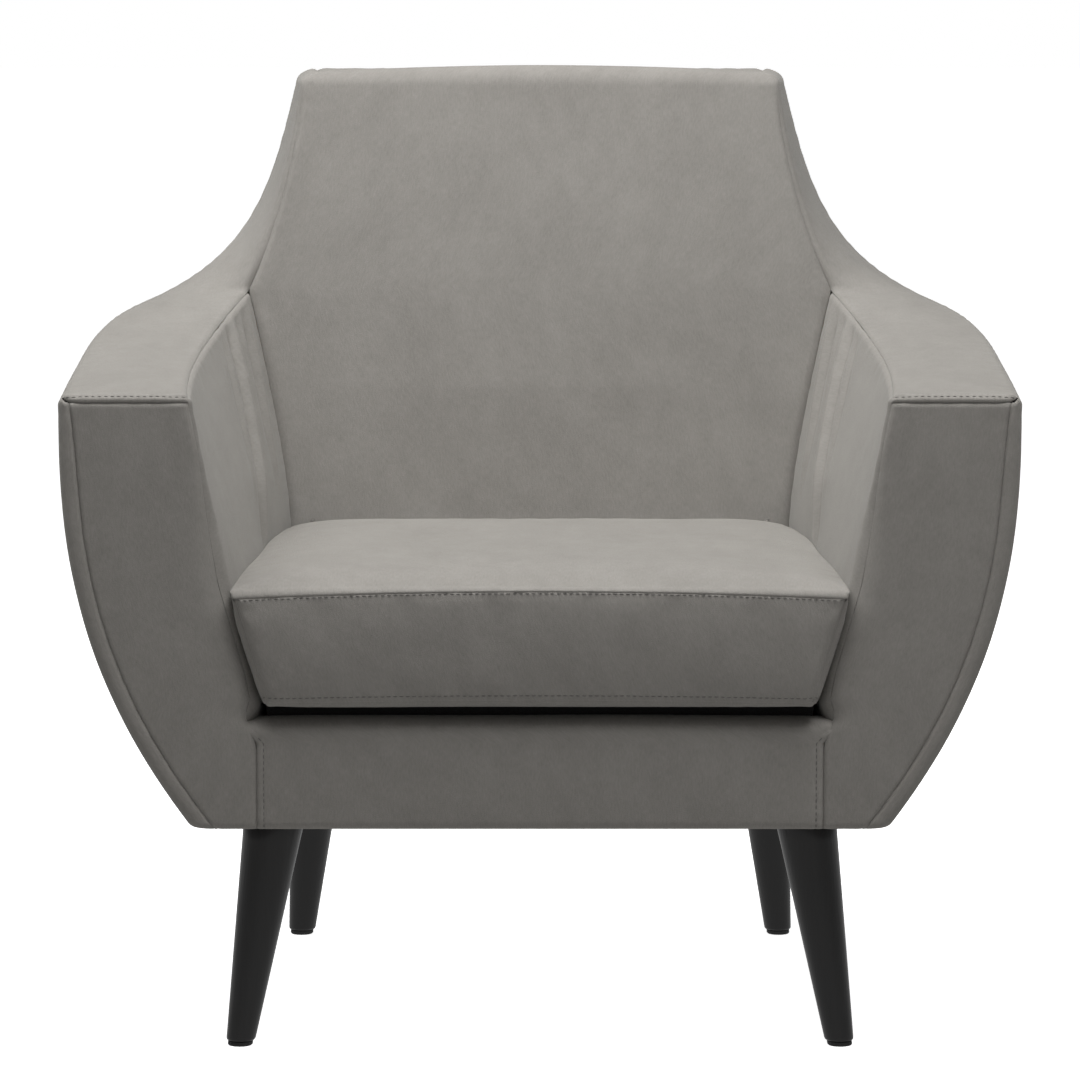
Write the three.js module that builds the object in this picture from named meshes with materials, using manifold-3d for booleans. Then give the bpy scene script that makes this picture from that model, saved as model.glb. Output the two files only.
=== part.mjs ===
// Upholstered tub armchair: a plywood rib frame with padded panels sewn edge to edge,
// a loose zipped seat cushion and four screw-in tapered legs.
//
// Millimetres, +Z up, +X to the sitter's left hand, the front faces -Y. The origin is on the
// floor under the middle of the chair's box. "Depth" runs back from the front face of the arms.
import * as THREE from 'three';
import Module from 'manifold-3d';

// ---------------------------------------------------------------- driving dimensions

// The upholstered shell
const backHeight = 872;        // floor to the top of the back
const armHeight = 602;         // floor to the arm top, at its front end
const undersideHeight = 205;   // floor to the bottom edge of the shell
const shellWidth = 875;        // across the widest part of the arms
const bellyInset = 120;        // how far the sides tuck in from the widest line to the bottom
const bellyHeight = 575;       // floor to the widest line of the sides
const bellyPower = 2.4;        // how late the tuck starts: 2 is a parabola
const frontTaper = 5.5;        // how much narrower each side is at the front face
const widestDepth = 240;       // depth at which the shell is widest
const planPower = 3.8;         // squareness of the rear corners in plan: 2 is an ellipse
const cornerSeam = 0.67;       // side-to-rear seam, as a part of the way round the corner

// The arms
const armTopInner = 313;       // half width between the arms at the top, at the front
const armTopBow = 46;          // outward bow of that inner edge along the arm
const armTopPinch = 24;        // how far it comes in where it reaches the back
const armTopRise = 39;         // climb of the arm top from the front to the back
const risePower = 1.8;         // how late that climb starts
const innerRise = 15;          // further climb of the inner edge as it turns up the back
const innerRiseStart = 330;    // depth at which that further climb starts
const armFootInner = 281;      // half width between the arms at seat height, at the front
const armConverge = 36;        // how much less that is at the back
const armFlare = 0.18;         // slope of the inside of the arm below seat height

// The back
const backLean = 0.305;        // run of the inside back for each unit of height
const backSeatDepth = 500;     // depth of the inside back at seat height
const rearClearTop = 27;       // back posts to the outside of the back, at the top
const rearClearBase = 94;      // and at the bottom, where the shell bulges behind them
const backTopHalf = 240;       // half width of the inside back at its top
const wingSpread = 50;         // how much wider it is where the arms meet it
const wingPower = 1.65;        // how late the wings spread
const wingTop = 246;           // half width of the outer edge at the top
const wingPulls = [[0.27, 0.15], [0.16, 0.515]];  // the two pulls that bend that edge up the
                               // back: part of the way out to the arm, part of the climb

// The seat
const seatHeight = 430;        // floor to the top of the seat cushion
const seatLine = seatHeight - 10;  // height at which the widths between the arms are set
const cushionThickness = 111;
const cushionOverhang = 15;    // front of the cushion, ahead of the arms
const cushionSideGap = 3;      // cushion to the inside of each arm
const cushionTuck = 12;        // extra gap at the cushion's bottom edge in front
const cushionRearGap = 12;     // cushion to the inside back
const seatPlatform = 306;      // floor to the top of the apron
const apronHalf = 256;         // half width of the apron, seam to seam
const deckStart = 32;          // depth at which the deck pad starts
const frameLift = 3;           // frame above the shell's bottom edge
const platformLift = 14;       // apron top above the seat rails

// Thicknesses
const coverSkin = 6;           // outside covers with their wadding
const frontSkin = 8;           // front panels with their wadding
const bandPad = 25;            // arm-top padding
const bandPadTop = 12;         // the same band at the top of the back
const armPad = 30;             // inside-arm padding
const backPad = 50;            // inside-back foam
const backTopPad = 22;         // the same foam where it wraps over the top
const deckPad = 19;
const cushionSkin = 3;
const ply = 18;                // ribs
const postSetback = 30;        // back posts behind the foam's line, at the bottom
const postWide = 50;           // back posts, front to rear, at the bottom
const postWideTop = 30;        // and at the top
const backRailWide = 62;       // rails across the back, up and down
const board = 22;              // rails and posts
const ribRail = 20;            // the rail on top of the ribs
const sheet = 1.5;             // dust cover

// Legs
const legTopRadius = 28;
const legFootRadius = 13.5;
const legEdge = 3;             // rounding of the leg's bottom edge
const legs = [
  { name: 'front', footHalf: 275, footDepth: 50, topHalf: 243.5, topDepth: 70 },
  { name: 'rear', footHalf: 242, footDepth: 600, topHalf: 222, topDepth: 560 },
];
const glideHeight = 4;
const glideRadius = 11.5;
const boltRadius = 4;
const boltInLeg = 35;
const boltInBlock = 34;

// Suspension
const springCount = 4;
const springPitchAcross = 100;
const springWire = 1.9;        // radius
const springSwing = 22;        // half width of the zigzag
const springBends = 20;
const strapStart = 95;         // middle of the lowest band above the seat line
const strapPitch = 100;
const strapCount = 3;
const strapWidth = 50;
const strapThickness = 3;

// Zip
const zipLength = 440;
const zipWidth = 7;
const zipThickness = 2.2;
const zipTravel = 400;

// Fits
const touch = 0.4;             // gap between pieces that touch
const seamGap = 1.5;           // gap between neighbouring pads at a seam
const fit = 1;                 // frame to padding

// ---------------------------------------------------------------- sizes that follow

const half = shellWidth / 2;
const frameBase = undersideHeight + frameLift;
const railTop = seatPlatform - platformLift;
const cushionBottom = seatHeight - cushionThickness;
const deckTop = cushionBottom - touch;
const sideRailOuter = armFootInner + 3;
const sideRailInner = sideRailOuter - board;
const frontRailBack = frontSkin + fit + board;

// Depth of the inside back, for a height.
const backFace = (z) => backSeatDepth + backLean * (z - seatLine);
const postLow = backFace(frameBase) + backPad + postSetback;
const baseDepth = postLow + postWide + rearClearBase;
const backDepth = backFace(backHeight) + backPad + postWideTop + rearClearTop;
const middle = (backDepth - cushionOverhang) / 2;  // depth of the chair's middle

// ---------------------------------------------------------------- the shell's surfaces

const at = (x, depth, z) => new THREE.Vector3(x, depth - middle, z);
const mix = (a, b, t) => a + (b - a) * t;

// Half width of the shell at its widest depth, for a height.
const halfAt = (z) => {
  const below = Math.max(0, (bellyHeight - z) / (bellyHeight - undersideHeight));
  return half - bellyInset * below ** bellyPower;
};

// Depth of the rear of the shell on the centre line, for a height.
const rearAt = (z) => mix(baseDepth, backDepth, (z - undersideHeight) / (backHeight - undersideHeight));

// Half width of the outside of the shell, for a depth and a height: a superellipse in plan
// behind the widest depth, and a gentle taper in front of it.
const outerHalf = (depth, z) => {
  if (depth <= widestDepth) return halfAt(z) - frontTaper * (1 - depth / widestDepth) ** 2;
  const part = Math.min(1, (depth - widestDepth) / (rearAt(z) - widestDepth));
  return halfAt(z) * (1 - part ** planPower) ** (1 / planPower);
};

// Depth of the same surface, for a half width and a height.
const outerDepth = (x, z) => {
  const part = Math.min(1, Math.abs(x) / halfAt(z));
  return widestDepth + (rearAt(z) - widestDepth) * (1 - part ** planPower) ** (1 / planPower);
};

// A point under the outside surface, a given thickness in along the plan's own normal.
const underOutside = (depth, z, skin) => {
  const x = outerHalf(depth, z);
  if (depth <= widestDepth) return at(x - skin, depth, z);
  const across = (x / halfAt(z)) ** (planPower - 1) / halfAt(z);
  const reach = rearAt(z) - widestDepth;
  const back = ((depth - widestDepth) / reach) ** (planPower - 1) / reach;
  const length = Math.hypot(across, back);
  return at(x - skin * across / length, depth - skin * back / length, z);
};
const seamDepth = (z) => mix(widestDepth, rearAt(z), cornerSeam);
const seamPart = (1 - cornerSeam ** planPower) ** (1 / planPower);

// The arm's top edges, for a depth.
const wingFootHeight = armHeight + armTopRise;
const outerTop = (depth) => armHeight + armTopRise * (depth / seamDepth(wingFootHeight)) ** risePower;

// The junction, where the arm's inner edge reaches the inside back.
let junctionDepth = backSeatDepth;
for (let i = 0; i < 20; i += 1) junctionDepth = backFace(outerTop(junctionDepth) + innerRise);
const innerTop = (depth) => {
  const turn = Math.max(0, (depth - innerRiseStart) / (junctionDepth - innerRiseStart));
  return outerTop(depth) + innerRise * turn ** 2;
};
const innerTopHalf = (depth) => {
  const along = depth / junctionDepth;
  return armTopInner + armTopBow * along * (1 - along) - armTopPinch * along ** 4;
};

// Half width of the inside of the arm, for a depth and a height.
const innerHalf = (depth, z) => {
  const foot = armFootInner - armConverge * (depth / backSeatDepth);
  if (z <= seatLine) return foot - armFlare * (seatLine - z);
  const up = Math.min(1, (z - seatLine) / (innerTop(depth) - seatLine));
  return mix(foot, innerTopHalf(depth), up ** (1 + 0.5 * (depth / backSeatDepth) ** 2));
};

// Half width of the inside back, for a height: it follows the arms up to the junction and
// narrows along the wings above it.
const junctionHeight = innerTop(junctionDepth);
const backHalf = (z) => {
  if (z <= junctionHeight) return innerHalf(backFace(z), z);
  const left = (backHeight - z) / (backHeight - junctionHeight);
  return backTopHalf + wingSpread * Math.max(0, left) ** wingPower;
};

// Outer edge of the wing, from the arm to the top of the back: half width and height.
const wingFootHalf = seamPart * halfAt(wingFootHeight);
const wingPoint = (out, climb) => new THREE.Vector2(
  mix(wingTop, wingFootHalf, out),
  mix(wingFootHeight, backHeight, climb),
);
const wing = new THREE.CubicBezierCurve(
  wingPoint(1, 0),
  ...wingPulls.map(([out, climb]) => wingPoint(out, climb)),
  wingPoint(0, 1),
);

// ---------------------------------------------------------------- solids

const steps = (count) => Array.from({ length: count + 1 }, (_, i) => i / count);

// Turns a geometry's faces round when they point inwards.
const facingOut = (geometry) => {
  const p = geometry.getAttribute('position');
  const index = geometry.getIndex().array;
  const [a, b, c] = [0, 0, 0].map(() => new THREE.Vector3());
  let volume = 0;
  for (let i = 0; i < index.length; i += 3) {
    a.fromBufferAttribute(p, index[i]);
    b.fromBufferAttribute(p, index[i + 1]);
    c.fromBufferAttribute(p, index[i + 2]);
    volume += a.dot(b.cross(c));
  }
  if (volume < 0) {
    for (let i = 0; i < index.length; i += 3) [index[i], index[i + 1]] = [index[i + 1], index[i]];
  }
  return geometry;
};

const meshFrom = (points, faces) => {
  const geometry = new THREE.BufferGeometry().setFromPoints(points);
  geometry.setIndex(new THREE.BufferAttribute(new Uint32Array(faces), 1));
  return facingOut(geometry);
};

// A padded panel: a shown face and a hidden face, each a grid over (u, v), joined at their rims.
const panel = (shown, hidden, columns, rows) => {
  const us = steps(columns);
  const vs = steps(rows);
  const side = us.length * vs.length;
  const points = [shown, hidden].flatMap((face) => us.flatMap((u) => vs.map((v) => face(u, v))));
  const id = (i, j) => i * vs.length + j;
  const faces = [];
  const quad = (a, b, c, d) => faces.push(a, b, c, a, c, d);
  for (let i = 0; i < columns; i += 1) {
    for (let j = 0; j < rows; j += 1) {
      quad(id(i, j), id(i + 1, j), id(i + 1, j + 1), id(i, j + 1));
      quad(side + id(i, j), side + id(i, j + 1), side + id(i + 1, j + 1), side + id(i + 1, j));
    }
  }
  const rim = [
    ...us.slice(0, -1).map((_, i) => id(i, 0)),
    ...vs.slice(0, -1).map((_, j) => id(columns, j)),
    ...us.slice(1).map((_, i) => id(columns - i, rows)),
    ...vs.slice(1).map((_, j) => id(0, rows - j)),
  ];
  rim.forEach((from, k) => {
    const to = rim[(k + 1) % rim.length];
    quad(to, from, side + from, side + to);
  });
  return meshFrom(points, faces);
};

// A solid skinned over rings of points, with flat convex ends.
const loft = (rings) => {
  const n = rings[0].length;
  const faces = [];
  for (let r = 0; r < rings.length - 1; r += 1) {
    for (let i = 0; i < n; i += 1) {
      const j = (i + 1) % n;
      faces.push(r * n + i, r * n + j, (r + 1) * n + j, r * n + i, (r + 1) * n + j, (r + 1) * n + i);
    }
  }
  const last = (rings.length - 1) * n;
  for (let i = 1; i < n - 1; i += 1) {
    faces.push(0, i + 1, i, last, last + i, last + i + 1);
  }
  return meshFrom(rings.flat(), faces);
};

// A board between two heights, each end a rectangle [x0, x1, depth0, depth1].
const boardBetween = (low, high, lowZ, highZ) => loft([[low, lowZ], [high, highZ]].map(
  ([[x0, x1, d0, d1], z]) => [at(x0, d0, z), at(x1, d0, z), at(x1, d1, z), at(x0, d1, z)],
));

// A plate with an outline in x and z, standing across the depth.
const plate = (outline, depth, thickness) => {
  const shape = new THREE.Shape(outline.map(([x, z]) => new THREE.Vector2(x, z)));
  const geometry = new THREE.ExtrudeGeometry(shape, { depth: thickness, bevelEnabled: false });
  return geometry.rotateX(Math.PI / 2).translate(0, depth + thickness - middle, 0);
};

// The same piece for the other side of the chair.
const mirrored = (geometry) => {
  const copy = geometry.clone().scale(-1, 1, 1);
  if (copy.getIndex()) return facingOut(copy);
  const p = copy.getAttribute('position');
  const [a, b] = [new THREE.Vector3(), new THREE.Vector3()];
  for (let i = 0; i < p.count; i += 3) {
    a.fromBufferAttribute(p, i);
    b.fromBufferAttribute(p, i + 1);
    p.setXYZ(i, b.x, b.y, b.z);
    p.setXYZ(i + 1, a.x, a.y, a.z);
  }
  return copy;
};

// ---------------------------------------------------------------- materials

const finish = (color, roughness, metalness = 0) =>
  new THREE.MeshStandardMaterial({ color, roughness, metalness });
const velour = finish('#8f8c86', 0.95);
const birch = finish('#c9a777', 0.7);
const spring = finish('#6c7075', 0.4, 0.9);
const webbing = finish('#2b2b2d', 0.9);
const wadding = finish('#d9d6cf', 0.95);
const nonwoven = finish('#1d1d1f', 0.95);
const foam = finish('#e6dfb8', 0.95);
const lacquer = finish('#151517', 0.35);
const zinc = finish('#a8abae', 0.35, 0.9);
const felt = finish('#3a3835', 0.95);
const zipTape = finish('#77746e', 0.8);

const chair = new THREE.Group();
const add = (name, geometry, material) => {
  const mesh = new THREE.Mesh(geometry, material);
  mesh.name = name;
  chair.add(mesh);
  return mesh;
};
const addPair = (name, geometry, material) => {
  add(`${name}_left`, mirrored(geometry), material);
  add(`${name}_right`, geometry, material);
};

// ---------------------------------------------------------------- frame

// Outline of a rib: the shell's section less its padding, with the arm rail on top.
const ribOutline = (depth, rows = 10) => {
  const top = outerTop(depth) - bandPad - ribRail - 2 * fit;
  const clear = (z) => Math.min(outerHalf(depth, z), outerHalf(depth + ply, z)) - coverSkin - 5 * fit;
  const inner = (z) => Math.max(sideRailOuter + fit, innerHalf(depth, z) + armPad + 2 * fit);
  const heights = steps(rows).map((t) => mix(frameBase, top, t));
  return [
    ...heights.map((z) => [clear(z), z]),
    ...heights.reverse().map((z) => [inner(z), z]),
  ];
};
const ribDepths = { front_rib: frontSkin + fit, middle_rib: 285, rear_rib: 480 };
Object.entries(ribDepths).forEach(([name, depth]) => {
  addPair(name, plate(ribOutline(depth), depth, ply), birch);
});

// The arm rail lies along the rib tops, under the arm-top pad.
const wingBlockDepth = backFace(wingFootHeight) + backPad + 10;
const railInset = 6;
const railRings = steps(6).map((t) => mix(frontSkin + fit, wingBlockDepth - touch, t)).map((depth) => {
  const top = outerTop(depth) - bandPad - fit;
  const inner = innerTopHalf(Math.min(depth, junctionDepth)) + armPad + railInset;
  const outer = outerHalf(depth + coverSkin + railInset, bellyHeight) - coverSkin - railInset;
  return [
    at(inner, depth, top - ribRail), at(outer, depth, top - ribRail),
    at(outer, depth, top), at(inner, depth, top),
  ];
});
addPair('arm_rail', loft(railRings), birch);

// The back posts stand between the seat side rails and lean with the back.
const postFoot = sideRailInner - touch;
const postTop = backTopHalf - bandPadTop - 2;
const postHigh = backHeight - backTopPad - fit;
const postUp = (z) => (z - frameBase) / (postHigh - frameBase);
const postFront = (z) => mix(postLow, backFace(postHigh) + backPad + 4 * fit, postUp(z));
const postOuter = (z) => mix(postFoot, postTop, postUp(z));
addPair('back_post', boardBetween(
  [postFoot - board, postFoot, postLow, postLow + postWide],
  [postTop - board, postTop, postFront(postHigh), postFront(postHigh) + postWideTop],
  frameBase,
  postHigh,
), birch);

// Rails across the back, between the posts.
const backRail = (low) => {
  const high = low + backRailWide;
  const end = (z) => postOuter(z) - board - 2 * touch;
  const front = (z) => postFront(z) + 2 * strapThickness;
  return boardBetween(
    [-end(high), end(high), front(low), front(low) + board],
    [-end(high), end(high), front(high), front(high) + board],
    low,
    high,
  );
};
add('back_top_rail', backRail(postHigh - backRailWide), birch);
add('back_lumbar_rail', backRail(seatLine - fit), birch);

// The wing block carries the band where the arm turns up into the back.
const wingLow = seatLine - 20;
const wingHigh = wingFootHeight - bandPad;
const wingStep = 20;
const wingOutline = [
  ...steps(4).map((t) => mix(wingLow, wingHigh, t))
    .map((z) => [outerHalf(wingBlockDepth + ply + coverSkin + railInset, z) - 4 * fit, z]),
  [postOuter(wingHigh) + 2 * wingStep, wingHigh + wingStep],
  ...[wingHigh + 2 * wingStep, wingLow].map((z) => [postOuter(z) + fit, z]),
];
addPair('wing_block', plate(wingOutline, wingBlockDepth, ply), birch);

// Seat rails.
const sideRail = [sideRailInner, sideRailOuter, frontRailBack + touch, postLow + board];
addPair('seat_side_rail', boardBetween(sideRail, sideRail, frameBase, railTop), birch);
const frontRail = [-sideRailOuter, sideRailOuter, frontSkin + fit, frontRailBack];
add('seat_front_rail', boardBetween(frontRail, frontRail, frameBase, railTop), birch);
const rearRailHalf = postOuter(railTop) - board - 2 * touch;
const rearRail = [-rearRailHalf, rearRailHalf, postLow, postLow + board];
add('seat_rear_rail', boardBetween(rearRail, rearRail, frameBase, railTop), birch);

// ---------------------------------------------------------------- legs and their fixings

const wasm = await Module();
wasm.setup();

// A geometry with merged corners as a solid for cutting, and back again.
const toSolid = (geometry) => {
  const flat = geometry.clone();
  const seen = new Map();
  const p = flat.getAttribute('position');
  const order = flat.getIndex() ? Array.from(flat.getIndex().array) : [...Array(p.count).keys()];
  const points = [];
  const triVerts = order.map((i) => {
    const key = [p.getX(i), p.getY(i), p.getZ(i)].map((value) => value.toFixed(4)).join();
    if (!seen.has(key)) {
      seen.set(key, seen.size);
      points.push(p.getX(i), p.getY(i), p.getZ(i));
    }
    return seen.get(key);
  });
  const corners = [];
  for (let i = 0; i < triVerts.length; i += 3) {
    const [a, b, c] = triVerts.slice(i, i + 3);
    if (a !== b && b !== c && c !== a) corners.push(a, b, c);
  }
  return new wasm.Manifold(new wasm.Mesh({
    numProp: 3,
    vertProperties: new Float32Array(points),
    triVerts: new Uint32Array(corners),
  }));
};
const toGeometry = (solid) => {
  const mesh = solid.getMesh();
  const geometry = new THREE.BufferGeometry();
  geometry.setAttribute('position', new THREE.BufferAttribute(new Float32Array(mesh.vertProperties), 3));
  geometry.setIndex(new THREE.BufferAttribute(new Uint32Array(mesh.triVerts), 1));
  return geometry;
};

// A turned piece on a leg's leaning axis: level rings whose centres follow the axis.
const turned = (profile, leg, segments) => {
  const geometry = new THREE.LatheGeometry(profile.map(([r, z]) => new THREE.Vector2(r, z)), segments);
  geometry.rotateX(Math.PI / 2);
  const slopeX = (leg.topHalf - leg.footHalf) / undersideHeight;
  const slopeY = (leg.topDepth - leg.footDepth) / undersideHeight;
  geometry.applyMatrix4(new THREE.Matrix4().set(
    1, 0, slopeX, leg.footHalf,
    0, 1, slopeY, leg.footDepth - middle,
    0, 0, 1, 0,
    0, 0, 0, 1,
  ));
  return toGeometry(toSolid(geometry));
};
const legTop = undersideHeight - touch;
const legFoot = glideHeight + touch;
const boreRadius = boltRadius + touch;
const edgeArc = steps(3).map((t) => [
  legFootRadius - legEdge * (1 - Math.sin(t * Math.PI / 2)),
  legFoot + legEdge * (1 - Math.cos(t * Math.PI / 2)),
]);
const legProfile = [
  [0, legFoot], ...edgeArc, [legTopRadius, legTop], [boreRadius, legTop],
  [boreRadius, legTop - boltInLeg], [0, legTop - boltInLeg],
];
const glideProfile = [
  [0, 0], [glideRadius - 1, 0], [glideRadius, 1], [glideRadius, glideHeight], [0, glideHeight],
];
const boltLow = legTop - boltInLeg + touch;
const boltHigh = frameBase + boltInBlock;
const boltProfile = [[0, boltLow], [boltRadius, boltLow], [boltRadius, boltHigh], [0, boltHigh]];

// Corner blocks take the legs' bolts; each is bored on the leg's leaning axis.
const blockHeight = 42;
const rearBlockInner = postFoot - board - 4 * fit;
const frontBlockStart = frontRailBack + touch;
const rearBlockStart = postLow + board + touch;
const blocks = {
  front: [sideRailInner - 60, sideRailInner - touch, frontBlockStart, frontBlockStart + 70],
  rear: [rearBlockInner - 40, rearBlockInner, rearBlockStart, rearBlockStart + 58],
};
legs.forEach((leg) => {
  addPair(`${leg.name}_leg`, turned(legProfile, leg, 24), lacquer);
  addPair(`${leg.name}_foot_glide`, turned(glideProfile, leg, 16), felt);
  addPair(`${leg.name}_hanger_bolt`, turned(boltProfile, leg, 12), zinc);
  const blank = boardBetween(blocks[leg.name], blocks[leg.name], frameBase, frameBase + blockHeight);
  const bore = turned([
    [0, frameBase - 20], [boreRadius, frameBase - 20],
    [boreRadius, frameBase + blockHeight + 20], [0, frameBase + blockHeight + 20],
  ], leg, 12);
  addPair(`${leg.name}_corner_block`, toGeometry(toSolid(blank).subtract(toSolid(bore))), birch);
});

// ---------------------------------------------------------------- suspension

// A zigzag seat spring: wire swinging from side to side as it runs from rail to rail.
class Zigzag extends THREE.Curve {
  constructor(x, front, rear, z) {
    super();
    Object.assign(this, { x, front, rear, z });
  }

  getPoint(t, target = new THREE.Vector3()) {
    const swing = springSwing * Math.sin(t * Math.PI * springBends);
    return target.copy(at(this.x + swing, mix(this.front, this.rear, t), this.z));
  }
}
const springHeight = railTop + springWire + touch;
const wireSection = new THREE.Shape(steps(6).slice(1).map((t) => new THREE.Vector2(
  springWire * Math.cos(t * Math.PI * 2),
  springWire * Math.sin(t * Math.PI * 2),
)));
for (let i = 0; i < springCount; i += 1) {
  const x = (i - (springCount - 1) / 2) * springPitchAcross;
  const path = new Zigzag(x, frontRailBack - board / 2, postLow + board / 2, springHeight);
  const wire = new THREE.ExtrudeGeometry(wireSection, {
    extrudePath: path,
    steps: springBends * 4,
    bevelEnabled: false,
  });
  add(`seat_spring_${i + 1}`, wire, spring);
}

// Elastic webbing across the fronts of the back posts.
for (let i = 0; i < strapCount; i += 1) {
  const low = seatLine + strapStart + i * strapPitch - strapWidth / 2;
  const high = low + strapWidth;
  const row = (height) => [
    -postOuter(high), postOuter(high),
    postFront(height) - strapThickness - touch, postFront(height) - touch,
  ];
  add(`back_webbing_${i + 1}`, boardBetween(row(low), row(high), low, high), webbing);
}

// ---------------------------------------------------------------- padded panels

// Front panels: one face of each arm, from the inside arm to the outside.
const frontOutline = [
  ...steps(14).map((t) => mix(undersideHeight, armHeight, t))
    .map((z) => [outerHalf(0, z), z]),
  ...steps(8).map((t) => mix(armHeight, seatPlatform - 20, t))
    .map((z) => [Math.max(apronHalf, innerHalf(0, z)), z]),
  [apronHalf, undersideHeight],
];
addPair('arm_front_panel', plate(frontOutline, 0, frontSkin), velour);

// The apron covers the seat front rail and folds back over its top.
const apronShape = new THREE.Shape([
  [0, undersideHeight], [0, seatPlatform], [deckStart - fit, seatPlatform],
  [deckStart - fit, seatPlatform - 6], [frontSkin, seatPlatform - 6], [frontSkin, undersideHeight],
].map(([depth, z]) => new THREE.Vector2(depth - middle, z)));
const apronWidth = 2 * (apronHalf - touch);
const apron = new THREE.ExtrudeGeometry(apronShape, { depth: apronWidth, bevelEnabled: false });
apron.applyMatrix4(new THREE.Matrix4().set(
  0, 0, 1, -apronWidth / 2,
  1, 0, 0, 0,
  0, 1, 0, 0,
  0, 0, 0, 1,
));
add('front_apron_cover', apron, velour);

// Outside arm covers run from the front panel to the corner seam.
const coverStart = frontSkin + touch;
const sidePoint = (u, z, skin) => {
  const depth = mix(coverStart, seamDepth(z), u) - (u === 1 ? seamGap : 0);
  return underOutside(depth, z, skin);
};
const sideTop = (u) => outerTop(mix(coverStart, seamDepth(wingFootHeight), u)) - 5 * fit;
const sideShown = (u, v) => sidePoint(u, mix(undersideHeight, sideTop(u), v), 0);
const sideHidden = (u, v) => sidePoint(u, mix(undersideHeight, sideTop(u) - bandPad - 5 * fit, v), coverSkin);
addPair('outside_arm_cover', panel(sideShown, sideHidden, 8, 9), velour);

// The outside back cover closes the rear, from corner seam to corner seam, up to the wings.
const wingHeight = (x) => {
  let [low, high] = [0, 1];
  for (let i = 0; i < 30; i += 1) {
    const t = (low + high) / 2;
    if (wing.getPoint(t).x > x) low = t;
    else high = t;
  }
  return wing.getPoint(low).y;
};
const rearSpread = [
  ...[0, 0.45, 0.8, 0.94, 0.98].map((part) => part * wingTop),
  ...[0.01, 0.06, 0.16, 0.3, 0.49, 0.7, 0.88].map((out) => mix(wingTop, wingFootHalf, out)),
  wingFootHalf - seamGap,
].map((x) => x / half);
const rearParts = [...rearSpread.slice(1).map((part) => -part).reverse(), ...rearSpread];
const rearPoint = (u, v, skin, side, drop) => {
  const part = rearParts[Math.round(u * (rearParts.length - 1))];
  const top = wingHeight(Math.abs(part) * half + side) - drop;
  const z = mix(undersideHeight, top, v);
  const x = part * halfAt(z);
  const point = underOutside(outerDepth(x, z), z, skin);
  return x < 0 ? point.setX(-point.x) : point;
};
add('outside_back_cover', panel(
  (u, v) => rearPoint(u, v, 0, 2 * seamGap, 2 * seamGap),
  (u, v) => rearPoint(u, v, coverSkin, bandPadTop + 2, backTopPad - 4 * fit),
  rearParts.length - 1,
  9,
), velour);

// The arm-top band: level on the arm, it turns up the side of the back and faces sideways there.
const bandTurned = 0.67;       // part of the climb by which the band faces sideways
const bandStations = [
  ...steps(6).map((t) => ({ depth: mix(coverStart, 0.91 * junctionDepth, t) })),
  ...steps(7).map((t) => ({ climb: t * 0.985 })),
];
const bandAt = ({ depth, climb }) => {
  if (depth !== undefined) {
    const top = outerTop(depth);
    return {
      inner: at(innerTopHalf(depth), depth, innerTop(depth)),
      outer: at(outerHalf(depth, top), depth, top),
      into: new THREE.Vector3(0, 0, -bandPad),
      innerInset: armPad + 3 * fit,
      outerInset: coverSkin + 4 * fit,
    };
  }
  const z = mix(junctionHeight, backHeight, climb);
  const edge = wing.getPoint(climb);
  const turned = Math.min(1, climb / bandTurned);
  const turn = turned * Math.PI / 2;
  const pad = mix(bandPad, bandPadTop, turned);
  return {
    inner: at(backHalf(z), backFace(z) + touch, z),
    outer: at(edge.x, outerDepth(edge.x, edge.y), edge.y),
    into: new THREE.Vector3(-Math.sin(turn) * pad, 0, -Math.cos(turn) * pad),
    innerInset: mix(armPad + 10 * fit, backPad + 4 * fit, turned),
    outerInset: coverSkin + 6 * fit,
  };
};
const bandPoint = (u, v, hidden) => {
  const station = bandAt(bandStations[Math.round(u * (bandStations.length - 1))]);
  const across = station.outer.clone().sub(station.inner).normalize();
  const inner = station.inner.clone();
  const outer = station.outer.clone();
  if (hidden) {
    if (u === 1) station.into.z -= backTopPad + fit;
    inner.add(station.into).addScaledVector(across, station.innerInset);
    outer.add(station.into).addScaledVector(across, -station.outerInset);
  }
  return inner.lerp(outer, v);
};
addPair('arm_top_band', panel(
  (u, v) => bandPoint(u, v, false),
  (u, v) => bandPoint(u, v, true),
  bandStations.length - 1,
  3,
), velour);

// Inside arm pads, from the seat platform to the arm top and back to the inside back.
const armPadFoot = deckTop - deckPad / 2;
const armPadPoint = (u, v, thickness, drop) => {
  const reach = mix(coverStart, junctionDepth, u);
  const z = mix(armPadFoot, innerTop(reach) - drop, v);
  const depth = mix(coverStart, backFace(z) - seamGap, u);
  const top = innerTop(Math.min(depth, junctionDepth)) - drop;
  const level = Math.min(z, top);
  return at(innerHalf(Math.min(depth, junctionDepth), level) + thickness, depth, level);
};
addPair('inside_arm_pad', panel(
  (u, v) => armPadPoint(u, v, 0, seamGap),
  (u, v) => armPadPoint(u, v, armPad, bandPad + 4 * fit),
  8,
  7,
), velour);

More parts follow.
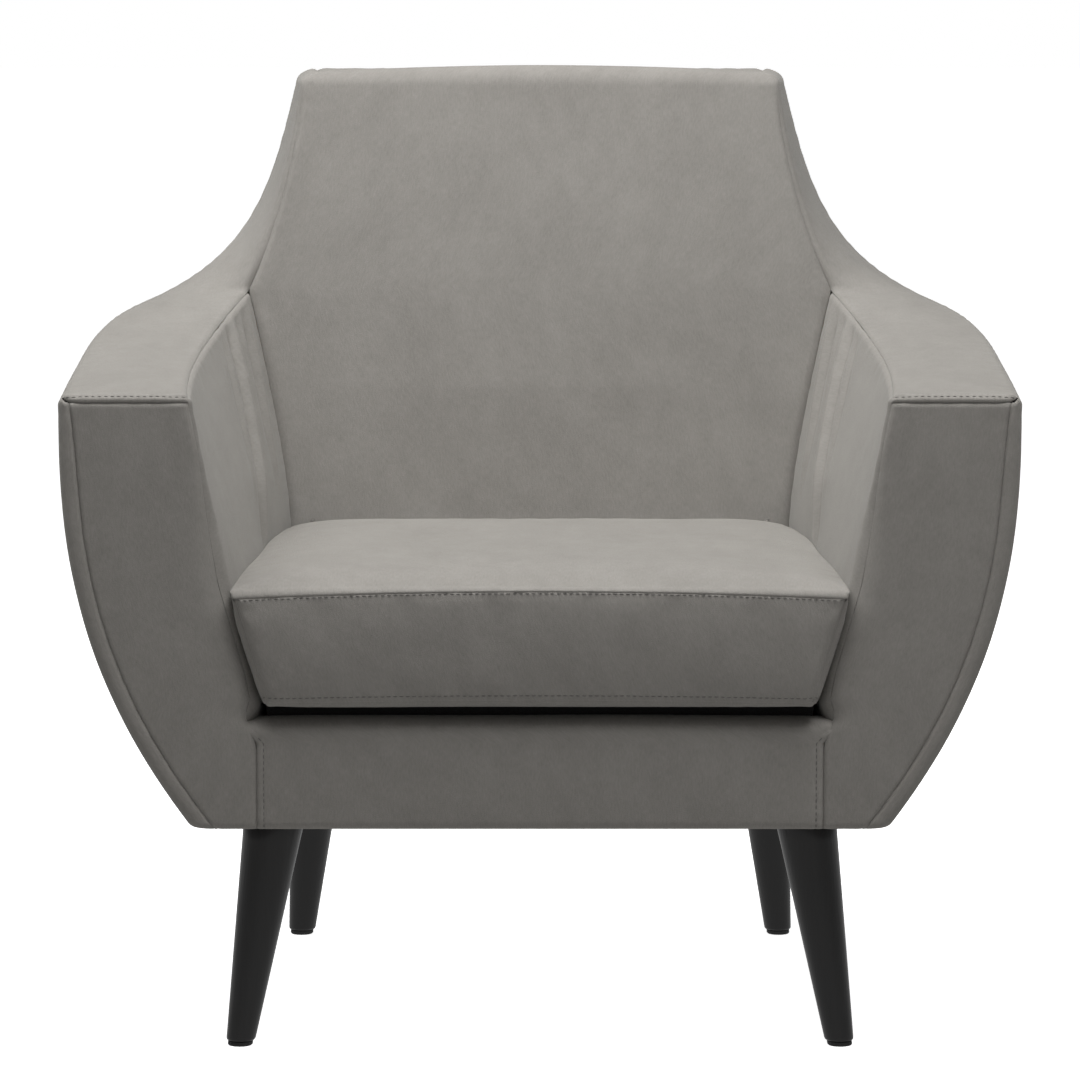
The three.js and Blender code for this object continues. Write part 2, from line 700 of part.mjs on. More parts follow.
// The inside back pad: foam up the leaning back and over its top edge. Each row of the shown
// face has a depth, a height and a half width, and so has the row behind it.
const backFoot = cushionBottom + 4 * fit;
const backRound = 12;
const padRise = steps(8).map((t) => mix(backFoot, backHeight - backRound, t));
const topDepth = backFace(backHeight);
const backShown = [
  ...padRise.map((z) => [backFace(z), z, backHalf(z) - seamGap]),
  [topDepth + backRound / 2, backHeight - seamGap, backTopHalf - 2 * fit],
  [topDepth + 1.4 * backRound, backHeight, backTopHalf - fit],
  [backDepth, backHeight - fit, wingTop - 2 * fit],
];
const backHidden = [
  ...padRise.map((z, i) => {
    const low = Math.min(z, backHeight - backTopPad - 2 * fit * (padRise.length - i));
    const beside = z > junctionHeight ? bandPadTop + 4 * fit : 2 * fit;
    return [backFace(low) + backPad, low, backHalf(z) - seamGap - beside];
  }),
  ...backShown.slice(padRise.length).map(([depth]) => [
    Math.max(depth, topDepth + backPad),
    backHeight - backTopPad,
    backTopHalf - bandPadTop - 3 * fit,
  ]),
];
const backPadPoint = (rows, rearGap) => (u, v) => {
  const [depth, z, wide] = rows[Math.round(v * (rows.length - 1))];
  const x = mix(-wide, wide, u);
  return at(x, Math.min(depth, outerDepth(x, z) - rearGap), z);
};
add('inside_back_pad', panel(
  backPadPoint(backShown, 0),
  backPadPoint(backHidden, 2 * coverSkin),
  8,
  backShown.length - 1,
), velour);

// The deck pad lies on the springs, and the cushion on it.
const deckRing = (z) => {
  const rear = backFace(z) - 3 * fit;
  const [x0, x1] = [deckStart, rear].map((depth) => innerHalf(depth, z) - 2 * fit);
  return [at(-x0, deckStart, z), at(x0, deckStart, z), at(x1, rear, z), at(-x1, rear, z)];
};
add('seat_deck_pad', loft([deckRing(deckTop - deckPad), deckRing(deckTop)]), wadding);

// The dust cover closes the underside, with a hole for each leg's bolt.
const dustInset = 24;
const dustHalf = halfAt(undersideHeight) - dustInset;
const dustRear = steps(12).map((t) => {
  const x = Math.cos(t * Math.PI / 2) * dustHalf;
  return [x, outerDepth(x, undersideHeight) - dustInset];
});
const dustSide = [[dustHalf - frontTaper, frontSkin + 4 * fit], ...dustRear];
const dustOutline = [...dustSide, ...dustSide.slice(0, -1).reverse().map(([x, depth]) => [-x, depth])];
const dustShape = new THREE.Shape(dustOutline.map(([x, depth]) => new THREE.Vector2(x, depth - middle)));
legs.forEach((leg) => [-1, 1].forEach((side) => {
  const hole = new THREE.Path();
  hole.absarc(side * leg.topHalf, leg.topDepth - middle, boltRadius + 3 * fit, 0, Math.PI * 2);
  dustShape.holes.push(hole);
}));
const dust = new THREE.ExtrudeGeometry(dustShape, { depth: sheet, bevelEnabled: false, curveSegments: 8 });
add('dust_cover', dust.translate(0, 0, undersideHeight + touch), nonwoven);

// ---------------------------------------------------------------- loose seat cushion

// The cushion narrows towards the back and towards its underside, inside the arms.
const cushionRing = (z, inset) => {
  const up = (z - cushionBottom) / cushionThickness;
  const front = -mix(cushionOverhang - 3, cushionOverhang, up) + inset;
  const rear = backFace(z) - cushionRearGap - inset;
  const wide = (depth) => innerHalf(Math.max(0, depth), z) - cushionSideGap - inset;
  const frontHalf = wide(front) - cushionTuck * (1 - up);
  return [at(-frontHalf, front, z), at(frontHalf, front, z), at(wide(rear), rear, z), at(-wide(rear), rear, z)];
};
const cushionLevels = [0, 0.5, 1];
const cushionBody = (inset) => loft(cushionLevels.map(
  (up) => cushionRing(mix(cushionBottom + inset, seatHeight - inset, up), inset),
));

// The zip lies in a slot along the middle of the rear boxing, which leans with the back.
const zipHeight = cushionBottom + cushionThickness / 2;
const zipLean = Math.atan(backLean);
const zipDepth = backFace(zipHeight) - cushionRearGap;
const onRear = (geometry) => geometry.rotateX(-zipLean).translate(0, zipDepth - middle, zipHeight);
const slotWidth = zipWidth + 2 * touch;
const slot = onRear(new THREE.BoxGeometry(zipLength + 2 * touch, 6 * cushionSkin, slotWidth));
const hollow = toSolid(cushionBody(0)).subtract(toSolid(cushionBody(cushionSkin)));
add('seat_cushion_cover', toGeometry(hollow.subtract(toSolid(slot))), velour);
add('seat_cushion_foam', cushionBody(cushionSkin + touch), foam);
add('zip_chain', onRear(
  new THREE.BoxGeometry(zipLength, zipThickness, zipWidth).translate(0, -zipThickness / 2, 0),
), zipTape);

// The slider rides behind the chain, at the closed end, with its pull tab hanging.
const sliderThickness = 3;
const [sliderHalf, sliderNose, shoulder] = [5, 4, 6];
const [tabHalf, tabLength, tabHole] = [2.6, 24, 1.3];
const sliderShape = new THREE.Shape([
  [-sliderHalf, -sliderHalf], [-tabHalf, -sliderHalf], [-tabHalf, -tabLength],
  [tabHalf, -tabLength], [tabHalf, -sliderHalf], [sliderHalf, -sliderHalf],
  [sliderNose, shoulder], [-sliderNose, shoulder],
].map(([x, z]) => new THREE.Vector2(x, z)));
const tabEye = new THREE.Path();
tabEye.absarc(0, 3.5 - tabLength, tabHole, 0, Math.PI * 2);
sliderShape.holes.push(tabEye);
const slider = new THREE.ExtrudeGeometry(sliderShape, {
  depth: sliderThickness,
  bevelEnabled: false,
  curveSegments: 6,
});
slider.rotateX(Math.PI / 2).translate(zipTravel / 2, sliderThickness + touch, 0);
add('zip_slider', onRear(slider), zinc);

export default chair;
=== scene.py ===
"""Upholstered tub armchair: the finished look of every piece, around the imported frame.

Metres, +Z up, the front faces -Y. "Depth" runs back from the front face of the arms.
"""
import math

import bpy
import numpy as np
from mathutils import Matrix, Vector


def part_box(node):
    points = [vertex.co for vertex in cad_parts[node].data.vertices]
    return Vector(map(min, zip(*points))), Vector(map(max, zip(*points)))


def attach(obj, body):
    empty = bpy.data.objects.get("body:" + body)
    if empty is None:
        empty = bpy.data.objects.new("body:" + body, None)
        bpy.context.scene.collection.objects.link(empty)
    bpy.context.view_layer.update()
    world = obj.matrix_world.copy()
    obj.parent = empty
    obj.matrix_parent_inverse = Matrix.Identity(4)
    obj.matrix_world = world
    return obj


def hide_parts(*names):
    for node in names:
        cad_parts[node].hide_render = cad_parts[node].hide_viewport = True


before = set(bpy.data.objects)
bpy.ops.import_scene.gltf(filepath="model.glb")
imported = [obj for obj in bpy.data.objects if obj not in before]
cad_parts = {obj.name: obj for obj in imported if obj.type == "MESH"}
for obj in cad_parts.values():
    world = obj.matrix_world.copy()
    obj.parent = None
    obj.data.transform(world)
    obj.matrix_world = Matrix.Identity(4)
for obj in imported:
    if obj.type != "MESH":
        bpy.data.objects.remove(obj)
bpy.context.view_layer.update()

# ------------------------------------------------------------------------------------------
# The timber frame: sawn birch plywood ribs and wing blocks under softwood rails and posts,
# glued and stapled. It is closed in on all sides once the chair is covered.


class Wire:
    """A number inside a finish. Arithmetic on it adds the Math nodes."""

    def __init__(self, finish, socket):
        self.finish = finish
        self.socket = socket

    def math(self, operation, first, second):
        return self.finish.node("ShaderNodeMath", {"operation": operation}, {0: first, 1: second})

    def __add__(self, other):
        return self.math("ADD", self, other)

    __radd__ = __add__

    def __mul__(self, other):
        return self.math("MULTIPLY", self, other)

    __rmul__ = __mul__

    def __sub__(self, other):
        return self.math("SUBTRACT", self, other)

    def __rsub__(self, other):
        return self.math("SUBTRACT", other, self)


class Finish:
    """A material: constants sit on its shader, and node() adds what varies over the surface."""

    def __init__(self, name, constants):
        self.material = bpy.data.materials.new(name)
        self.material.use_nodes = True
        self.tree = self.material.node_tree
        self.shader = self.tree.nodes["Principled BSDF"]
        for socket, value in constants.items():
            self.shader.inputs[socket].default_value = value

    def feed(self, socket, value):
        if isinstance(value, Wire):
            self.tree.links.new(value.socket, socket)
        else:
            socket.default_value = value

    def node(self, kind, settings, sockets, output=0):
        made = self.tree.nodes.new(kind)
        for name, value in settings.items():
            setattr(made, name, value)
        for name, value in sockets.items():
            self.feed(made.inputs[name], value)
        return Wire(self, made.outputs[output])

    def place(self):
        """The place on the piece, in metres along the chair's own axes."""
        return self.node("ShaderNodeTexCoord", {}, {}, 3)

    def noise(self, place, scale, detail=2.0, roughness=0.5):
        """Noise of the given scales along x, y and z, in turns per metre."""
        stretched = self.node("ShaderNodeMapping", {}, {"Vector": place, "Scale": scale})
        sockets = {"Vector": stretched, "Scale": 1.0, "Detail": detail, "Roughness": roughness}
        return self.node("ShaderNodeTexNoise", {}, sockets)

    def math_of(self, operation, value):
        return self.node("ShaderNodeMath", {"operation": operation}, {0: value})

    def mix(self, share, low, high):
        """A colour between two colours."""
        return self.node("ShaderNodeMix", {"data_type": "RGBA"}, {0: share, 6: low, 7: high}, 2)

    def finished(self, height=None, depth=0.0, **varying):
        """Feeds the shader; height is a surface height from 0 to 1, and depth its size."""
        for name, value in varying.items():
            self.feed(self.shader.inputs[name.replace("_", " ")], value)
        if height is not None:
            bump = self.node("ShaderNodeBump", {}, {"Height": height, "Distance": depth})
            self.feed(self.shader.inputs["Normal"], bump)
        return self.material


def timber(name, dark, light, grain):
    """Growth rings as a stretched noise folded into bands, with fine pores along the grain."""
    finish = Finish(name, {"Specular IOR Level": 0.3})
    place = finish.place()
    rings = finish.math_of("FRACT", finish.noise(place, grain, 2.0) * 7.0)
    pores = finish.noise(place, tuple(18 * g for g in grain), 3.0, 0.7)
    colour = finish.mix(rings * 0.6 + pores * 0.4, (*dark, 1), (*light, 1))
    return finish.finished(pores, 0.0006, Base_Color=colour, Roughness=pores * 0.25 + 0.5)


def dress(material, *nodes):
    """Gives CAD nodes a finish."""
    for node in nodes:
        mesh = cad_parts[node].data
        mesh.materials.clear()
        mesh.materials.append(material)


SIDES = ("left", "right")
plywood = timber("birch_plywood", (0.40, 0.26, 0.13), (0.66, 0.48, 0.28), (6.0, 40.0, 6.0))
softwood = timber("frame_softwood", (0.42, 0.25, 0.11), (0.66, 0.46, 0.25), (30.0, 5.0, 30.0))
dress(plywood, *[f"{part}_{side}" for side in SIDES for part in (
    "front_rib", "middle_rib", "rear_rib", "wing_block",
    "front_corner_block", "rear_corner_block",
)])
dress(softwood, "seat_front_rail", "seat_rear_rail", "back_top_rail", "back_lumbar_rail")
dress(softwood, *[f"{part}_{side}" for side in SIDES for part in (
    "arm_rail", "back_post", "seat_side_rail",
)])

# ------------------------------------------------------------------------------------------
# Suspension: zigzag springs of drawn, phosphated wire from rail to rail of the seat, and
# bands of woven elastic webbing stapled across the back posts.

spring_finish = Finish("spring_steel", {"Metallic": 1.0})
smears = spring_finish.noise(spring_finish.place(), (60, 60, 60), 3.0)
spring_steel = spring_finish.finished(
    Base_Color=spring_finish.mix(smears, (0.16, 0.165, 0.175, 1), (0.34, 0.35, 0.37, 1)),
    Roughness=smears * 0.3 + 0.3,
)
dress(spring_steel, *[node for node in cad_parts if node.startswith("seat_spring")])

webbing_finish = Finish("elastic_webbing", {"Specular IOR Level": 0.2})
woven = webbing_finish.noise(
    webbing_finish.place(), (120.0, 120.0, 900.0), 2.0)
elastic = webbing_finish.finished(
    woven, 0.0008, Roughness=woven * 0.2 + 0.7,
    Base_Color=webbing_finish.mix(woven, (0.02, 0.02, 0.022, 1), (0.07, 0.07, 0.075, 1)),
)
dress(elastic, *[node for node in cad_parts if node.startswith("back_webbing")])

# ------------------------------------------------------------------------------------------
# Inside arms: velour over foam on the ribs, sewn to the arm-top band above, to the front
# panel and to the inside back. The shell's own surfaces are set out here, as the arm is the
# first piece that follows them.

# The shell
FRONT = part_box("arm_front_panel_right")[0].y   # plane of the arm fronts
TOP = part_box("inside_back_pad")[1].z           # floor to the top of the back
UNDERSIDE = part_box("front_apron_cover")[0].z
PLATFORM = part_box("front_apron_cover")[1].z
HALF = 0.4375                 # half the width, at the widest
BELLY_INSET = 0.120
BELLY_HEIGHT = 0.575
BELLY_POWER = 2.4
FRONT_TAPER = 0.0055
WIDEST_DEPTH = 0.240
PLAN_POWER = 3.8
CORNER_SEAM = 0.67
BASE_DEPTH = 0.65934          # depth of the rear at the underside
BACK_DEPTH = 0.74486          # and at the top

# The arms and the back
ARM_HEIGHT = 0.602
ARM_RISE = 0.039
INNER_RISE = 0.015
INNER_RISE_START = 0.330
ARM_TOP_INNER = 0.313
ARM_TOP_BOW = 0.046
ARM_TOP_PINCH = 0.024
ARM_FOOT_INNER = 0.281
ARM_CONVERGE = 0.036
ARM_FLARE = 0.18
SEAT_LINE = 0.420
BACK_SEAT_DEPTH = 0.500
BACK_LEAN = 0.305
BACK_TOP_HALF = 0.240
WING_SPREAD = 0.050
WING_POWER = 1.65
WING_TOP = 0.246


def place(x, depth, z):
    """Points from a half width, a depth and a height, in the chair's own axes."""
    return np.stack(np.broadcast_arrays(x, np.add(depth, FRONT), z), axis=-1)


def half_at(z):
    """The widest half width, less a tuck that grows as a power of the drop below the belly."""
    below = np.clip((BELLY_HEIGHT - z) / (BELLY_HEIGHT - UNDERSIDE), 0, None)
    return HALF - BELLY_INSET * below ** BELLY_POWER


def rear_at(z):
    """Depth of the rear on the centre line: it leans back evenly with height."""
    return BASE_DEPTH + (BACK_DEPTH - BASE_DEPTH) * (z - UNDERSIDE) / (TOP - UNDERSIDE)


def outer_half(depth, z):
    """A parabola in plan in front of the widest depth, a superellipse behind it."""
    part = np.clip((depth - WIDEST_DEPTH) / (rear_at(z) - WIDEST_DEPTH), 0, 1)
    behind = half_at(z) * (1 - part ** PLAN_POWER) ** (1 / PLAN_POWER)
    ahead = half_at(z) - FRONT_TAPER * (1 - depth / WIDEST_DEPTH) ** 2
    return np.where(depth <= WIDEST_DEPTH, ahead, behind)


def outer_depth(x, z):
    """The same superellipse, solved for depth."""
    part = np.clip(np.abs(x) / half_at(z), 0, 1)
    return WIDEST_DEPTH + (rear_at(z) - WIDEST_DEPTH) * (1 - part ** PLAN_POWER) ** (1 / PLAN_POWER)


def seam_depth(z):
    return WIDEST_DEPTH + (rear_at(z) - WIDEST_DEPTH) * CORNER_SEAM


def back_face(z):
    return BACK_SEAT_DEPTH + BACK_LEAN * (z - SEAT_LINE)


WING_FOOT = ARM_HEIGHT + ARM_RISE
WING_FOOT_HALF = (1 - CORNER_SEAM ** PLAN_POWER) ** (1 / PLAN_POWER) * half_at(WING_FOOT)


def outer_top(depth):
    """Height of the arm's outer edge: the rise grows as a power of the depth."""
    return ARM_HEIGHT + ARM_RISE * (np.clip(depth, 0, None) / seam_depth(WING_FOOT)) ** 1.8


JUNCTION = BACK_SEAT_DEPTH
for _ in range(20):
    JUNCTION = float(back_face(outer_top(JUNCTION) + INNER_RISE))


def inner_top(depth):
    """Height of the arm's inner edge: it turns up further as a parabola near the back."""
    turn = np.clip((depth - INNER_RISE_START) / (JUNCTION - INNER_RISE_START), 0, None)
    return outer_top(depth) + INNER_RISE * turn ** 2


def inner_top_half(depth):
    along = np.clip(depth / JUNCTION, 0, 1)
    return ARM_TOP_INNER + ARM_TOP_BOW * along * (1 - along) - ARM_TOP_PINCH * along ** 4


def inner_half(depth, z):
    """Half width between the arms: a blend from the foot line up to the top edge."""
    foot = ARM_FOOT_INNER - ARM_CONVERGE * depth / BACK_SEAT_DEPTH
    up = np.clip((z - SEAT_LINE) / (inner_top(depth) - SEAT_LINE), 0, 1)
    bowed = up ** (1 + 0.5 * (depth / BACK_SEAT_DEPTH) ** 2)
    return foot - ARM_FLARE * np.clip(SEAT_LINE - z, 0, None) + (inner_top_half(depth) - foot) * bowed


JUNCTION_HEIGHT = float(inner_top(JUNCTION))
EDGE_ROUND = 0.010            # rounding of the shell's front edge, seen from above
LIP = 0.007                   # rounding of the band over the arm's front edge


def outline_stretch(z):
    """Width along the floor, at a height, of a step of one along the outline's own normal."""
    slope = (outer_half(0, z + 0.001) - outer_half(0, z - 0.001)) / 0.002
    return np.sqrt(1 + slope ** 2)


def edge_start(z):
    """Half width at which the front face begins to turn into the side."""
    return outer_half(EDGE_ROUND, z) - EDGE_ROUND * outline_stretch(z)


def lip_height(depth):
    """How far the band's front edge has turned down, at a depth: a quarter of a circle."""
    part = np.clip(1 - depth / LIP, 0, 1)
    return LIP * (1 - np.sqrt(1 - part ** 2))


def back_half(z):
    """Half width of the inside back: along the arms, then narrowing up the wings."""
    left = np.clip((TOP - z) / (TOP - JUNCTION_HEIGHT), 0, 1)
    below = inner_half(back_face(np.minimum(z, JUNCTION_HEIGHT)), np.minimum(z, JUNCTION_HEIGHT))
    return np.where(z <= JUNCTION_HEIGHT, below, BACK_TOP_HALF + WING_SPREAD * left ** WING_POWER)


# Upholstering: panels are grids, close-set by their seams, that roll in to each seam.
BY_SEAM = np.array([0, 0.6, 1.3, 2.1, 3, 4, 5.2, 6.6, 8.2, 10, 12.3, 15, 18.5, 23]) / 1000
STITCH_ROW = 7                # the row of each panel's grid that topstitching runs along
WADDING = 0.010               # thickness of a panel
PUCKER_HEIGHT = 0.0006        # of the short puckers by the seams
PUCKER_LENGTH = 0.009
STITCH_DIP = 0.0008           # as deep as topstitching pulls the cloth in


def spaced(length, step=0.006, near_start=True, near_end=True):
    """Fractions of a length: close-set by the seams at its ends, a step apart between."""
    start = BY_SEAM if near_start else np.zeros(1)
    end = BY_SEAM if near_end else np.zeros(1)
    room = length - start[-1] - end[-1]
    between = np.linspace(start[-1], length - end[-1], max(3, round(room / step)))
    return np.concatenate([start[:-1], between, length - end[-2::-1]]) / length


def unit(vectors):
    return vectors / np.maximum(np.linalg.norm(vectors, axis=-1, keepdims=True), 1e-12)


def bell(value, middle, width):
    """One at its middle, falling off to both sides as a bell curve."""
    return np.exp(-((value - middle) / width) ** 2)


def from_line(points, line):
    """Distance from a polyline, direction away from it, and place along it, for each point."""
    start, span = line[:-1], np.diff(line, axis=0)
    size = np.maximum((span ** 2).sum(-1), 1e-14)
    flat = points.reshape(-1, 3)
    offset = flat[:, None] - start[None]
    along = np.clip((offset * span).sum(-1) / size, 0, 1)
    away = offset - along[..., None] * span
    nearest = (away ** 2).sum(-1).argmin(1)
    rows = np.arange(len(flat))
    away = away[rows, nearest]
    spot = nearest + along[rows, nearest]
    shape = points.shape[:2]
    return np.linalg.norm(away, axis=-1).reshape(shape), away.reshape(points.shape), spot.reshape(shape)


def running(points):
    """Length along a polyline, at each of its points."""
    steps = np.linalg.norm(np.diff(points, axis=0), axis=-1)
    return np.concatenate([np.zeros_like(steps[:1]), np.cumsum(steps, axis=0)])


def seam(roll, onward, tuck=60.0):
    """A seam: the width of its roll, the direction in which the next panel goes on from it, and
    how many degrees each panel turns in."""
    return {"roll": roll, "onward": np.array(onward, float), "tuck": tuck}


EDGES = {"u0": (0, 0, 1), "u1": (0, -1, -1), "v0": (1, 0, 1), "v1": (1, -1, -1)}


def edge_of(grid, edges, inwards=None):
    """Values along an edge of a grid, or round three edges in running order. With inwards, the
    grid's two tangents, it is the one that crosses the edge, turned to point inwards."""
    parts = []
    for number, edge in enumerate(edges.split("+")):
        axis, row, way = EDGES[edge]
        part = grid.take(row, axis=axis) if inwards is None else way * inwards[axis].take(row, axis=axis)
        parts.append(part[::-1] if number == 2 else part)
    return np.concatenate(parts)


def upholster(base, seams, crown=0.0, spread=0.06, uneven=0.0006, stitched=(), seed=1):
    """A padded panel over a base surface. By each seam a circular arc carries the surface in to
    the plane that halves the angle to the next panel, the middle swells away from the seams as
    one minus a bell curve, and slow waves and short puckers by the seams leave it uneven."""
    tangents = [unit(np.gradient(base, axis=0)), unit(np.gradient(base, axis=1))]
    normal = unit(np.cross(*tangents))
    for row, beside in ((0, 1), (-1, -2)):
        for column, next_to in ((0, 1), (-1, -2)):
            normal[row, column] = normal[beside, next_to]
    cloth = np.stack([running(base), running(base.swapaxes(0, 1)).T], axis=-1)
    shown, hidden = base.copy(), base - normal * WADDING
    swell = np.ones(base.shape[:2])
    rng = np.random.default_rng(seed)
    puckers = np.zeros_like(swell)
    for edge, fit in seams.items():
        line = edge_of(base, edge)
        face = edge_of(normal, edge)
        course = unit(np.gradient(line, axis=0))
        onward = np.broadcast_to(fit["onward"], line.shape)
        own, beyond = [
            way - (way * course).sum(-1, keepdims=True) * course
            for way in (edge_of(base, edge, tangents), onward)
        ]
        if "+" in edge:
            own = np.stack([np.convolve(part, np.ones(9), "same") for part in own.T], axis=-1)
        own, beyond = unit(own), unit(beyond)
        away_far, away, spot = from_line(base, line)
        inward = away + 1e-5 * own[np.clip(spot.round().astype(int), 0, len(own) - 1)]
        inward = unit(inward - (inward * normal).sum(-1, keepdims=True) * normal)
        corner = np.arctan2(-(beyond * face).sum(-1), -(beyond * own).sum(-1))
        roll, corner, tuck = [
            np.interp(spot, np.arange(len(line)), np.broadcast_to(value, len(line)))
            for value in (fit["roll"], corner, fit["tuck"])
        ]
        turn = np.radians(tuck)
        half_corner = np.tan(corner / 2)
        radius = roll / ((1 - np.cos(turn)) * half_corner + np.sin(turn))
        turned = turn * np.clip(1 - away_far / roll, 0, 1)
        left = np.clip(roll - away_far, 0, None)
        shown += inward * (left - radius * np.sin(turned))[..., None]
        shown -= normal * (radius * (1 - np.cos(turned)))[..., None]
        close = bell(away_far, 0, 3 * WADDING)
        inset = (roll - radius * np.sin(turn)) + WADDING * np.clip(half_corner, 0, None)
        hidden += inward * (inset * close)[..., None]
        swell *= 1 - np.exp(-(away_far / spread) ** 1.5)
        along = np.interp(spot, np.arange(len(line)), running(line))
        waves = rng.uniform(140, 420, 5)
        phases = rng.uniform(0, 2 * np.pi, 5)
        ripple = np.sin(along[..., None] * waves + phases).sum(-1) / 5
        puckers += ripple * bell(away_far, roll, PUCKER_LENGTH) * PUCKER_HEIGHT
        if edge in stitched:
            puckers -= STITCH_DIP * bell(away_far, BY_SEAM[STITCH_ROW], 0.0013)
    waves = rng.normal(0, 28, (6, 2))
    phases = rng.uniform(0, 2 * np.pi, 6)
    slow = np.sin(cloth @ waves.T + phases).sum(-1) / 6
    lift = crown * swell + puckers + slow * uneven * np.clip(swell * 2, 0, 1)
    return shown + normal * lift[..., None], hidden, cloth


def mirrored(points):
    return points * np.array([-1.0, 1.0, 1.0])


TURNS = (("left", mirrored), ("right", np.array))


def new_piece(name, points, faces):
    """A smooth mesh, in the scene."""
    mesh = bpy.data.meshes.new(name)
    mesh.from_pydata(points, [], faces)
    mesh.shade_smooth()
    piece = bpy.data.objects.new(name, mesh)
    bpy.context.scene.collection.objects.link(piece)
    return piece


def welded_piece(name, points, faces):
    """A smooth mesh in which a face may name a corner twice: it then has one corner fewer."""
    return new_piece(name, points, [tuple(dict.fromkeys(face)) for face in faces.tolist()])


def mesh_piece(name, points, faces, cloth=None):
    """A smooth mesh, its faces turned to point outwards. The cloth map holds the place on the
    cloth, in metres, of each corner of each face."""
    corners = points[faces]
    spread_out = np.cross(corners[:, 2] - corners[:, 0], corners[:, 3] - corners[:, 1])
    if (corners.mean(1) * spread_out).sum() < 0:
        faces = faces[:, ::-1]
        cloth = None if cloth is None else cloth[:, ::-1]
    piece = new_piece(name, points, faces)
    if cloth is not None:
        layer = piece.data.uv_layers.new(name="cloth")
        layer.data.foreach_set("uv", cloth.astype(np.float32).ravel())
    return piece


def grid_faces(rows, columns, start=0):
    first = start + np.arange((rows - 1) * columns).reshape(rows - 1, columns)[:, :-1].ravel()
    return np.stack([first, first + columns, first + columns + 1, first + 1], axis=1)


def closed_panel(name, shown, hidden, cloth):
    """The shown and hidden grids, joined round their rims."""
    rows, columns = shown.shape[:2]
    count = rows * columns
    order = np.arange(count).reshape(rows, columns)
    rim = np.concatenate([order[:-1, 0], order[-1, :-1], order[:0:-1, -1], order[0, :0:-1]])
    beyond = np.roll(rim, -1)
    rims = np.stack([rim, beyond, beyond + count, rim + count], axis=1)
    faces = np.concatenate([
        grid_faces(rows, columns), grid_faces(rows, columns, count)[:, ::-1], rims[:, ::-1]])
    points = np.concatenate([shown.reshape(-1, 3), hidden.reshape(-1, 3)])
    maps = np.concatenate([cloth.reshape(-1, 2), cloth.reshape(-1, 2)])
    return mesh_piece(name, points, faces, maps[faces])


velour_finish = Finish("greige_velour", {
    "Specular IOR Level": 0.12,
    "Sheen Weight": 0.22,
    "Sheen Roughness": 0.40,
    "Sheen Tint": (0.95, 0.94, 0.90, 1),
})
cloth_map = velour_finish.node("ShaderNodeUVMap", {"uv_map": "cloth"}, {})
clouds = velour_finish.noise(cloth_map, (16.0, 12.0, 1.0), 3.0, 0.55)
brushed = velour_finish.noise(cloth_map, (70.0, 42.0, 1.0), 3.0, 0.6)
streaks = velour_finish.noise(cloth_map, (620.0, 170.0, 1.0), 2.0, 0.6)
pile = velour_finish.noise(cloth_map, (2000.0, 1100.0, 1.0), 1.0)
shade = clouds * 0.50 + brushed * 0.42 + streaks * 0.70 + pile * 0.55 - 0.585
velour = velour_finish.finished(
    streaks * 0.4 + pile * 0.6, 0.0005,
    Base_Color=velour_finish.mix(shade, (0.190, 0.180, 0.165, 1), (0.305, 0.291, 0.270, 1)),
    Roughness=pile * 0.15 + 0.8,
)
# The thread itself is real, but its colour is painted shade: it is kept far darker than the velour it
# matches, to stand for the shade along the stitch lines. The twist noise is the thread's own variation.
shade_dark_thread_finish = Finish("sewing_thread_painted_shade", {"Sheen Weight": 0.2})
twist = shade_dark_thread_finish.noise(shade_dark_thread_finish.place(), (1500, 1500, 1500))
thread = shade_dark_thread_finish.finished(
    Roughness=twist * 0.2 + 0.6,
    Base_Color=shade_dark_thread_finish.mix(twist, (0.060, 0.057, 0.052, 1), (0.110, 0.105, 0.096, 1)),
)


def made(piece, material, slot, body="chair", fill=None, nodes=()):
    """Finishes a piece: its material, its body and the CAD nodes it stands for. The slot and the padding
    (fill) are not used.
    """
    piece.data.materials.append(material)
    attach(piece, body)
    if nodes:
        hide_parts(*nodes)
    return piece


STITCH_LENGTH = 0.0044
STITCH_GAP = 0.0012
STITCH_RADIUS = 0.00042


def stitches(name, line, normal, body="chair"):
    """Topstitching along a line on the cloth: each stitch is a five-sided thread whose ends
    dive into the cloth along a half sine."""
    length = running(line)
    count = int(length[-1] // (STITCH_LENGTH + STITCH_GAP))
    starts = np.linspace(0, length[-1] - STITCH_LENGTH, count)
    t = np.linspace(0, 1, 5)
    along = starts[:, None] + t * STITCH_LENGTH
    centre = np.stack([np.interp(along, length, line[:, k]) for k in range(3)], axis=-1)
    up = unit(np.stack([np.interp(along, length, normal[:, k]) for k in range(3)], axis=-1))
    forward = unit(np.gradient(centre, axis=1))
    side = np.cross(up, forward)
    centre = centre + up * (0.0007 * np.sin(np.pi * t) - 0.0003)[:, None]
    angle = np.arange(5) * 2 * np.pi / 5
    ring = side[..., None, :] * np.cos(angle)[:, None] + up[..., None, :] * np.sin(angle)[:, None]
    thin = STITCH_RADIUS * (0.45 + 0.55 * np.sin(np.pi * t))[:, None, None]
    points = (centre[..., None, :] + ring * thin).reshape(-1, 3)
    corner = np.arange(5)
    walls = np.concatenate([
        np.stack([s * 5 + corner, s * 5 + (corner + 1) % 5,
                  s * 5 + 5 + (corner + 1) % 5, s * 5 + 5 + corner], axis=1)
        for s in range(4)
    ])
    ends = np.array([[4, 3, 2, 0], [2, 1, 0, 0], [20, 22, 23, 24], [20, 20, 21, 22]])
    faces = (np.arange(count)[:, None, None] * 25 + np.concatenate([walls, ends])).reshape(-1, 4)
    return made(welded_piece(name, points, faces), thread, "velour", body)


def surface_normal(points):
    return unit(np.cross(np.gradient(points, axis=0), np.gradient(points, axis=1)))


